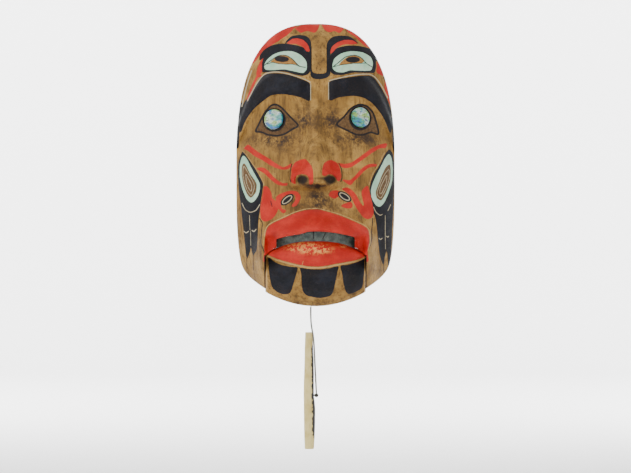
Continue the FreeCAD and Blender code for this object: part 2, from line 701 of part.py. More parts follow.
band_pad.Profile = band_sketch
band_pad.setExpression("Length", ref("band_width"))
band_pad.Reversed = True
band.Tip = band_pad
seat(band, ("0", ref("band_y"), "0"))
keep(band, "return_band")

# ------------------------------------------------------------------ screw eye and cord
ring = torus("eyelet_ring_wire", ref("eyelet_ring"), ref("eyelet_wire"),
             (ref("eyelet_x"), ref("eyelet_y"), ref("eyelet_z")), (1, 0, 0))
shank = cylinder("eyelet_shank_wire", ref("eyelet_wire"), ref("eyelet_shank"),
                 (ref("eyelet_x"), "Dimensions.eyelet_y - Dimensions.eyelet_ring",
                  ref("eyelet_z")), (0, -1, 0))
keep(fuse("cord_eye_body", [ring, shank]), "cord_eye")

hang_z = dim("eyelet_z") - dim("eyelet_ring")
loop = torus("cord_loop", ref("loop_radius"), ref("cord_radius"),
             (ref("eyelet_x"), ref("eyelet_y"), "Dimensions.eyelet_z - Dimensions.eyelet_ring"),
             (0, 1, 0))
knot = ellipsoid("cord_knot", [ref("knot_radius"), ref("knot_radius"), ref("knot_half")],
                 (ref("eyelet_x"), ref("eyelet_y"),
                  "Dimensions.eyelet_z - Dimensions.eyelet_ring"
                  " - Dimensions.loop_radius - Dimensions.knot_half"))
keep(fuse("cord_top_knot_body", [loop, knot]), "cord_top_knot")

knot_x = dim("stick_x") + 0.92 * dim("stick_half") + 0.3 + dim("end_knot_radius")
CORD_ROUTE = [
    Vector(-5.2, -50.0, -303.4),
    Vector(-5.3, -50.3, -313.0),
    Vector(-4.6, -51.6, -325.0),
    Vector(-1.9, -52.9, -337.0),
    Vector(-0.5, -52.6, -369.0),
    Vector(knot_x, -50.6, -398.2),
]


def cord_centreline(points):
    """Straight runs joined by tangent arcs, and the radii of the arcs."""
    edges = []
    radii = []
    start = points[0]
    for before, corner, after in zip(points, points[1:], points[2:]):
        into = (corner - before)
        onward = (after - corner)
        shorter = min(into.Length, onward.Length)
        half_turn = into.getAngle(onward) / 2.0
        trim = 0.45 * shorter
        radii.append(trim / math.tan(half_turn))
        into.normalize()
        onward.normalize()
        enter = corner - into * trim
        leave = corner + onward * trim
        bisector = onward - into
        bisector.normalize()
        sagitta = radii[-1] / math.cos(half_turn) - radii[-1]
        edges.append(Part.makeLine(start, enter))
        edges.append(Part.Arc(enter, corner + bisector * sagitta, leave).toShape())
        start = leave
    edges.append(Part.makeLine(start, points[-1]))
    return Part.Wire(edges), radii


cord_line, cord_bends = cord_centreline(CORD_ROUTE)
cord_ring = Part.Wire([Part.makeCircle(dim("cord_radius"), CORD_ROUTE[0],
                                       CORD_ROUTE[1] - CORD_ROUTE[0])])
cord_tube = cord_line.makePipeShell([cord_ring], True, True)
keep(shape_object("pull_cord_body", cord_tube), "pull_cord")

end_knot = ellipsoid("end_knot_ball", [ref("end_knot_radius")] * 3,
                     (knot_x, ref("stick_y"), ref("stick_hole_z")))
end_tail = cylinder("end_knot_tail", "Dimensions.cord_radius + 0.02",
                    f"{dim('end_knot_radius') + 0.4 + dim('stick_hole_length') - 1.0}",
                    (knot_x, ref("stick_y"), ref("stick_hole_z")), (-1, 0, 0))
keep(fuse("cord_end_knot_body", [end_knot, end_tail]), "cord_end_knot")

# ------------------------------------------------------------------ stick
STICK_CUTS = [
    # share of the length from the top, share of the half width, sideways shift
    (0.00, 0.62, -0.9),
    (0.03, 0.68, -0.7),
    (0.14, 0.81, -0.4),
    (0.34, 0.88, 0.0),
    (0.55, 0.91, 0.05),
    (0.70, 0.98, 0.6),
    (0.80, 0.97, 0.7),
    (0.97, 0.81, 0.9),
    (1.00, 0.76, 0.9),
]
STICK_SIDES = 9
sections = []
for share, swell, shift in STICK_CUTS:
    level = dim("stick_top_z") + share * (dim("stick_foot_z") - dim("stick_top_z"))
    corners = []
    for index in range(STICK_SIDES):
        angle = 2 * math.pi * (index + 0.25) / STICK_SIDES
        reach = dim("stick_half") * swell * (1.0 + 0.03 * math.cos(3 * angle))
        corners.append(Vector(dim("stick_x") + shift + reach * math.cos(angle),
                              dim("stick_y") + 0.92 * reach * math.sin(angle), level))
    sections.append(Part.makePolygon(corners + corners[:1]))
stick_blank = shape_object("stick_blank", Part.makeLoft(sections, True, True))
cross_hole = cylinder("cross_hole", ref("stick_hole_radius"),
                      "Dimensions.stick_hole_length + 1",
                      ("Dimensions.stick_x + Dimensions.stick_half + 1", ref("stick_y"),
                       ref("stick_hole_z")), (-1, 0, 0))
keep(cut("pull_handle_body", stick_blank, cross_hole), "pull_handle")

# ------------------------------------------------------------------ checks and files
doc.recompute()
for item in doc.Objects:
    for word in item.State:
        if word in ("Invalid", "Error"):
            raise RuntimeError(f"{item.Label}: {word}")
os.makedirs("parts", exist_ok=True)
for item in nodes:
    shape = item.Shape
    if shape.isNull() or not shape.isValid():
        raise RuntimeError(f"{item.Label}: shape is not valid")
    shape.exportStep(f"parts/{item.Label}.step")
    bounds = shape.BoundBox
    print(f"{item.Label:18s} solids {len(shape.Solids)} volume {shape.Volume:10.1f} "
          f"x {bounds.XMin:.1f} {bounds.XMax:.1f} y {bounds.YMin:.1f} {bounds.YMax:.1f} "
          f"z {bounds.ZMin:.1f} {bounds.ZMax:.1f}")
section = math.pi * dim("cord_radius") ** 2
print("cord length", round(cord_line.Length, 2), "bends",
      [round(radius, 1) for radius in cord_bends],
      "tube", round(cord_tube.Volume, 2), "section x length",
      round(section * cord_line.Length, 2))
print("pieces", len(nodes))
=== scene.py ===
"""Looks of a carved and painted wooden mask with a hinged jaw, a cord and a whittled stick."""
import logging
import math
from dataclasses import dataclass
from enum import Enum
from typing import Callable, Dict, List, Optional, Sequence, Tuple

import bmesh
import bpy
import numpy as np
from mathutils import Matrix, Vector


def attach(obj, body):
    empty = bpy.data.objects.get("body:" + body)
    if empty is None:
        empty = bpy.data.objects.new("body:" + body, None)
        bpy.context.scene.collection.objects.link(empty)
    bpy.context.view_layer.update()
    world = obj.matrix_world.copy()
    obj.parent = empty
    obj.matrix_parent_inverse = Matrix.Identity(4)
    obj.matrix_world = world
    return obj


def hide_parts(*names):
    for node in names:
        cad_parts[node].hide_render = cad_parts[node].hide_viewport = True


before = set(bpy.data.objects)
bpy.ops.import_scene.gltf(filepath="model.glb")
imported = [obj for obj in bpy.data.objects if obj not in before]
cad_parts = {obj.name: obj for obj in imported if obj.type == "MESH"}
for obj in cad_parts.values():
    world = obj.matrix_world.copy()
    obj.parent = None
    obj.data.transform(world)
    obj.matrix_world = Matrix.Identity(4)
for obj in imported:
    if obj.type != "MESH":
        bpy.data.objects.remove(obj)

LOG = logging.getLogger("mask")
MM = 0.001
FAR = 9.0
Point = Tuple[float, float]


class Body(Enum):
    """CAD bodies that pieces ride on."""

    MASK = "mask"
    JAW = "lower_jaw"
    TIE = "cord_tie"
    CORD = "cord"
    STICK = "stick"


class Layer(Enum):
    """Painted layers, in the order that they were laid on."""

    BLACK = "sd_black"
    RED = "sd_red"
    MINT = "sd_mint"
    INSET = "sd_inset"
    CORE = "sd_core"
    INK = "sd_ink"
    LIGHT = "sd_light"
    BARE = "sd_bare"
    # grime, with painted shade beside and under the nose; it also grows darker further back down the walls
    GRIME_AND_SHADE = "grime_and_shade"
    # painted shade in the nostrils, under the nose and upper lip and in the mouth corners; negative amounts
    # mark rubbed-through paint
    SHADE_AND_WEAR = "shade_and_wear"


# --------------------------------------------------------------------- form
def smooth(value: np.ndarray, low: float, high: float) -> np.ndarray:
    """Smooth 0 to 1 as value goes from low to high.

    Args:
        value: numbers to map.
        low: value that gives 0.
        high: value that gives 1.

    Returns:
        The shares, from 0 to 1.
    """
    share = np.clip((value - low) / (high - low), 0.0, 1.0)
    return share * share * (3.0 - 2.0 * share)


def bump(value: np.ndarray, centre: float, half: float, power: float = 2.0) -> np.ndarray:
    """1 at the centre, falling away over the half width.

    Args:
        value: numbers to map.
        centre: value that gives 1.
        half: distance over which the bump falls away.
        power: 2 is a soft bump, higher ones have a flatter top.

    Returns:
        The heights, from 0 to 1.
    """
    return np.exp(-np.abs((value - centre) / half) ** power)


@dataclass(frozen=True)
class CarvedForm:
    """Height of the carved wood in front of the wall plane, in millimetres."""

    half_width: float = 87.2
    crown_z: float = 8.0
    belt_z: float = -150.0
    chin_z: float = -302.4
    tab_z: float = -299.0
    chin_curve: float = 0.0052
    slot_half: float = 55.2
    mouth_half: float = 42.6
    jaw_half: float = 54.9

    def dome(self, x, z, half: float, crown: float, chin: float, rim: float, rise: float):
        """Plain rounded face.

        Args:
            x: distance from the middle.
            z: height.
            half: half width of the outline.
            crown: top of the outline.
            chin: bottom of the outline.
            rim: depth at the outline.
            rise: rise from the outline to the middle.

        Returns:
            The heights.
        """
        reach = np.where(z > self.belt_z, crown - self.belt_z, self.belt_z - chin)
        spread = ((np.abs(x) / half) ** 2.6 + (np.abs(z - self.belt_z) / reach) ** 2.6) ** (1 / 2.6)
        return rim + rise * (1.0 - spread ** 3.2)

    def outer(self, x, z):
        """Rounded face without its features."""
        return self.dome(x, z, self.half_width, self.crown_z, self.chin_z, 42.0, 52.0)

    def hollow(self, x, z):
        """Hollow behind the face."""
        return self.dome(x, z, self.half_width - 12.0, self.crown_z - 16.0,
                         self.chin_z + 12.0, 28.0, 52.0)

    @staticmethod
    def mouth_roof(x):
        """Height of the upper lip edge."""
        return -220.7 - 7.0 * (x / 45.0) ** 2 - 2.0 * smooth(-x, 6.0, 18.0)

    def lower_lip_edge(self, x):
        """Height of the lower lip edge."""
        return -229.5 - 17.5 * (np.abs(x) / self.jaw_half) ** 2.8

    @staticmethod
    def chin_swell(x, z):
        """Fullness shared by the chin and the cheeks beside it."""
        return 27.0 * smooth(-z, 238.0, 268.0) * (1.0 - smooth(np.abs(x), 50.0, 78.0))

    def face(self, x, z):
        """Carved front of the fixed part, without its fine cuts."""
        side = np.abs(x)
        height = self.outer(x, z)
        lift = 27.0 * smooth(-z, 82.0, 163.0) ** 1.2
        under = 1.0 - smooth(-z, 167.0, 178.0)
        ridge_half = 9.0 + 6.0 * smooth(-z, 110.0, 165.0)
        height = height + lift * under * np.exp(-(side / ridge_half) ** 3)
        height += 13.0 * under * bump(side, 19.0, 8.5, 4) * bump(z, -164.0, 10.0, 4)
        outward = np.maximum(0.0, side - 38.0)
        brow_z = -58.0 - 0.0155 * (side - 38.0) ** 2 - 0.00022 * outward ** 3
        height += 6.0 * np.exp(-np.abs((z - brow_z) / 13.0) ** 6) * smooth(side, 6.0, 20.0)
        height -= 9.0 * bump(side, 47.0, 36.0, 4) * bump(z, -101.0, 20.0, 4)
        height += 8.0 * bump(side, 47.0, 25.0, 3) * bump(z, -99.0, 15.5, 3)
        height += 4.0 * bump(side, 52.0, 24.0) * bump(z, -165.0, 30.0)
        roof = self.mouth_roof(x)
        lip = bump(np.maximum(0.0, z - roof), 0.0, 14.0) * (1.0 - smooth(side, 54.0, 72.0))
        height += 22.0 * lip * (1.0 - smooth(roof - z, 6.0, 40.0))
        height -= 14.0 * bump(side, 48.5, 6.5, 4) * bump(z, -235.0, 10.0, 4)
        return height + self.chin_swell(x, z)

    def jaw(self, x, z):
        """Carved front of the jaw: the lower lip over the chin."""
        share = (x / 54.0) ** 2
        half = np.maximum(14.8 * (1.0 - share), 3.0) + 1.0
        lip = np.exp(-np.abs((z + 244.5 + 1.5 * share) / (half * 0.95)) ** 3)
        return self.outer(x, z) + self.chin_swell(x, z) + 20.0 * lip * (1.0 - 0.35 * share)

    def outline_half(self, z, half: float, crown: float, chin: float):
        """Half width of the front outline at each height.

        Args:
            z: heights.
            half: half width at the cheeks.
            crown: top of the outline.
            chin: bottom of the outline.

        Returns:
            The half widths.
        """
        share = np.clip((z - self.belt_z) / (crown - self.belt_z), 0.0, 1.0)
        upper = half * (1.0 - share ** 2.6) ** (1 / 2.6)
        lower = half - 6.5 * (np.maximum(0.0, -172.0 - z) / 96.0) ** 3
        side = np.where(z >= self.belt_z, upper, lower)
        base = np.sqrt(np.maximum(z - chin, 0.0) / self.chin_curve)
        side = np.maximum(side, 1e-4)
        base = np.maximum(base, 1e-4)
        return (side ** -18.0 + base ** -18.0) ** (-1 / 18.0)

    def side_profile(self, half: float, crown: float, chin: float, foot: float) -> np.ndarray:
        """Right side of the outline from its foot up to the crown.

        Args:
            half: half width at the cheeks.
            crown: top of the outline.
            chin: bottom of the outline.
            foot: height where the profile starts.

        Returns:
            Points (x, z).
        """
        turn = np.linspace(0.0, 1.0, 150)
        z = foot + (crown - foot) * (1.0 - (1.0 - turn) ** 2.2)
        x = self.outline_half(z, half, crown, chin)
        x[-1] = 0.0
        return np.stack([x, z], axis=1)

    def shell_outline(self) -> np.ndarray:
        """Outline of the fixed part, open below for the jaw."""
        foot = self.tab_z + self.chin_curve * self.slot_half ** 2
        right = self.side_profile(self.half_width, self.crown_z, self.tab_z, foot + 1.0)
        roof_x = np.linspace(-self.mouth_half, self.mouth_half, 61)
        corner_x = np.linspace(self.mouth_half, self.slot_half, 9)
        corner = np.stack([corner_x, self.lower_lip_edge(corner_x) + 0.15], axis=1)
        arch = np.concatenate([corner[::-1] * np.array([-1.0, 1.0]),
                               np.stack([roof_x, self.mouth_roof(roof_x)], axis=1), corner])
        left = right[::-1] * np.array([-1.0, 1.0])
        tip = np.array([[self.slot_half, foot]])
        mirrored = tip * np.array([-1.0, 1.0])
        return np.concatenate([arch, tip, right, left[1:], mirrored])

    def jaw_outline(self) -> np.ndarray:
        """Outline of the jaw."""
        across = np.linspace(-self.jaw_half, self.jaw_half, 61)
        top = np.stack([across, self.lower_lip_edge(across)], axis=1)
        foot = np.stack([across, self.chin_z + self.chin_curve * across ** 2], axis=1)
        return np.concatenate([top, foot[::-1]])

    def hollow_outline(self) -> np.ndarray:
        """Rim of the hollow."""
        chin = self.chin_z + 12.0
        right = self.side_profile(self.half_width - 12.0, self.crown_z - 16.0, chin, chin + 0.2)
        return np.concatenate([right, right[::-1][1:] * np.array([-1.0, 1.0])])

    def surface_frame(self, x: float, z: float) -> Tuple[Vector, Vector]:
        """Point on the face and its outward direction.

        Args:
            x: distance from the middle.
            z: height.

        Returns:
            The point in millimetres and a unit vector.
        """
        small = 0.5
        slope_x = float(self.face(x + small, z) - self.face(x - small, z)) / (2 * small)
        slope_z = float(self.face(x, z + small) - self.face(x, z - small)) / (2 * small)
        normal = Vector((-slope_x, -1.0, -slope_z)).normalized()
        return Vector((x, -float(self.face(x, z)), z)), normal


FORM = CarvedForm()
EYE_SPOTS = (("left", -45.7, -98.6), ("right", 49.2, -96.5))
BORE_MIDDLE = 28.7
BORE_RADIUS = 66.3
STRIP_HALF = 42.56


def strip_face(x: np.ndarray) -> np.ndarray:
    """Round face that the tooth strip follows.

    Args:
        x: distances from the middle.

    Returns:
        The heights.
    """
    return BORE_MIDDLE + np.sqrt(BORE_RADIUS ** 2 - x ** 2)


# --------------------------------------------------------------- flat outlines
def flowing(points: Sequence[Point], closed: bool = True, samples: int = 5) -> np.ndarray:
    """Smooth line through a few points.

    Args:
        points: points (x, z) in millimetres.
        closed: whether the line runs back to its first point.
        samples: steps between two points.

    Returns:
        The points of the smooth line.
    """
    knots = np.array(points, float)
    if len(knots) < 3:
        return knots
    if closed:
        before, start = np.roll(knots, 1, 0), knots
        end, after = np.roll(knots, -1, 0), np.roll(knots, -2, 0)
    else:
        padded = np.concatenate([knots[:1], knots, knots[-1:]])
        before, start, end, after = padded[:-3], padded[1:-2], padded[2:-1], padded[3:]
    tension = 0.38
    runs = []
    for t in np.arange(samples) / samples:
        a = 2 * t ** 3 - 3 * t ** 2 + 1
        b = t ** 3 - 2 * t ** 2 + t
        c = -2 * t ** 3 + 3 * t ** 2
        d = t ** 3 - t ** 2
        runs.append(a * start + b * tension * (end - before) + c * end + d * tension * (after - start))
    line = np.stack(runs, axis=1).reshape(-1, 2)
    return line if closed else np.concatenate([line, knots[-1:]])


def nearest(points: np.ndarray, line: np.ndarray, closed: bool) -> Tuple[np.ndarray, np.ndarray]:
    """Distance to a line, and the nearest places on it.

    Args:
        points: points (x, z).
        line: the line's points.
        closed: whether the line runs back to its first point.

    Returns:
        Distances and nearest places.
    """
    start = line if closed else line[:-1]
    end = np.roll(line, -1, 0) if closed else line[1:]
    along = end - start
    length = np.maximum((along ** 2).sum(1), 1e-12)
    distances = np.empty(len(points))
    places = np.empty((len(points), 2))
    for low in range(0, len(points), 4000):
        part = points[low:low + 4000]
        offset = part[:, None, :] - start[None]
        share = np.clip((offset * along[None]).sum(2) / length[None], 0.0, 1.0)
        spot = start[None] + share[..., None] * along[None]
        gap = ((part[:, None, :] - spot) ** 2).sum(2)
        best = gap.argmin(1)
        rows = np.arange(len(part))
        distances[low:low + 4000] = np.sqrt(gap[rows, best])
        places[low:low + 4000] = spot[rows, best]
    return distances, places


def within(points: np.ndarray, loop: np.ndarray) -> np.ndarray:
    """Which points lie inside a closed line.

    Args:
        points: points (x, z).
        loop: the closed line's points.

    Returns:
        True for each point inside.
    """
    x, z = points[:, 0], points[:, 1]
    odd = np.zeros(len(points), bool)
    for (x0, z0), (x1, z1) in zip(loop, np.roll(loop, -1, 0)):
        if z0 == z1:
            continue
        crosses = (z0 > z) != (z1 > z)
        odd ^= crosses & (x < (x1 - x0) * (z - z0) / (z1 - z0) + x0)
    return odd


def signed_distance(points: np.ndarray, loop: np.ndarray) -> np.ndarray:
    """Distance to a closed line, negative inside and at most FAR.

    Args:
        points: points (x, z).
        loop: the closed line's points.

    Returns:
        The distances.
    """
    result = np.full(len(points), FAR)
    low, high = loop.min(0) - FAR, loop.max(0) + FAR
    near = ((points > low) & (points < high)).all(1)
    if near.any():
        some = points[near]
        gap, _ = nearest(some, loop, True)
        result[near] = np.minimum(np.where(within(some, loop), -gap, gap), FAR)
    return result


@dataclass(frozen=True)
class Patch:
    """A painted area, or a painted line when it has a half width."""

    layer: Layer
    points: Sequence[Point]
    half_line: float = 0.0
    closed: bool = False

    def distance(self, where: np.ndarray) -> np.ndarray:
        """Distance to the paint's edge, negative on the paint.

        Args:
            where: points (x, z).

        Returns:
            The distances.
        """
        if not self.half_line:
            return signed_distance(where, flowing(self.points))
        line = flowing(self.points, self.closed)
        result = np.full(len(where), FAR)
        near = ((where > line.min(0) - FAR) & (where < line.max(0) + FAR)).all(1)
        if near.any():
            gap, _ = nearest(where[near], line, self.closed)
            result[near] = np.minimum(gap - self.half_line, FAR)
        return result


@dataclass(frozen=True)
class Smudge:
    """A soft dark area."""

    layer: Layer
    centre: Point
    radii: Point
    strength: float

    def amount(self, where: np.ndarray) -> np.ndarray:
        """How dark the smudge is.

        Args:
            where: points (x, z).

        Returns:
            The amounts.
        """
        spread = ((where - np.array(self.centre)) / np.array(self.radii)) ** 2
        return self.strength * np.exp(-spread.sum(1))


def ovoid(centre: Point, radii: Point, degrees: float = 0.0, count: int = 12) -> List[Point]:
    """Points of a turned ellipse.

    Args:
        centre: its middle.
        radii: half length and half width.
        degrees: how far it is turned.
        count: number of points.

    Returns:
        The points.
    """
    turn = math.radians(degrees)
    points = []
    for index in range(count):
        angle = 2 * math.pi * index / count
        a, b = radii[0] * math.cos(angle), radii[1] * math.sin(angle)
        points.append((centre[0] + a * math.cos(turn) - b * math.sin(turn),
                       centre[1] + a * math.sin(turn) + b * math.cos(turn)))
    return points


ALMOND_LEFT = [(-65.4, -111.2), (-61.8, -103.5), (-55.8, -92.1), (-48.7, -83.8), (-42.7, -82.6),
               (-36.8, -86.2), (-27.8, -95.7), (-18.9, -105.3), (-24.8, -109.4), (-33.8, -114.8),
               (-42.1, -116.6), (-51.7, -115.4), (-58.8, -112.4)]
ALMOND_RIGHT = [(23, -104.5), (31, -96), (38.5, -87), (47.5, -82.5), (56, -84), (62.5, -90.5),
                (66.5, -101.5), (69, -114), (60.5, -112.5), (51.5, -115.5), (43.5, -115), (35, -111)]
MOUTH_LINE_LEFT = [(-61.1, -206.5), (-58.4, -210.5), (-58.3, -215.5), (-59.4, -232.3), (-57.4, -239),
                   (-55.6, -243.6)]
MOUTH_LINE_RIGHT = [(62.4, -206.5), (61.9, -213.2), (61.3, -221.1), (61.2, -227), (60, -234.5),
                    (57.2, -241.5)]
LIP_TOP = [(-55.5, -236), (-54.6, -226), (-53.4, -219.5), (-50.5, -214.6), (-44.8, -211), (-33.6, -205.9),
           (-22.3, -200.9), (-11.1, -197.7), (2, -196.8), (14.2, -199.7), (25.4, -203.1), (36.6, -207.6),
           (45.6, -211.5), (53.4, -215.5), (57.4, -219.5), (58.7, -227), (58.2, -234.5)]

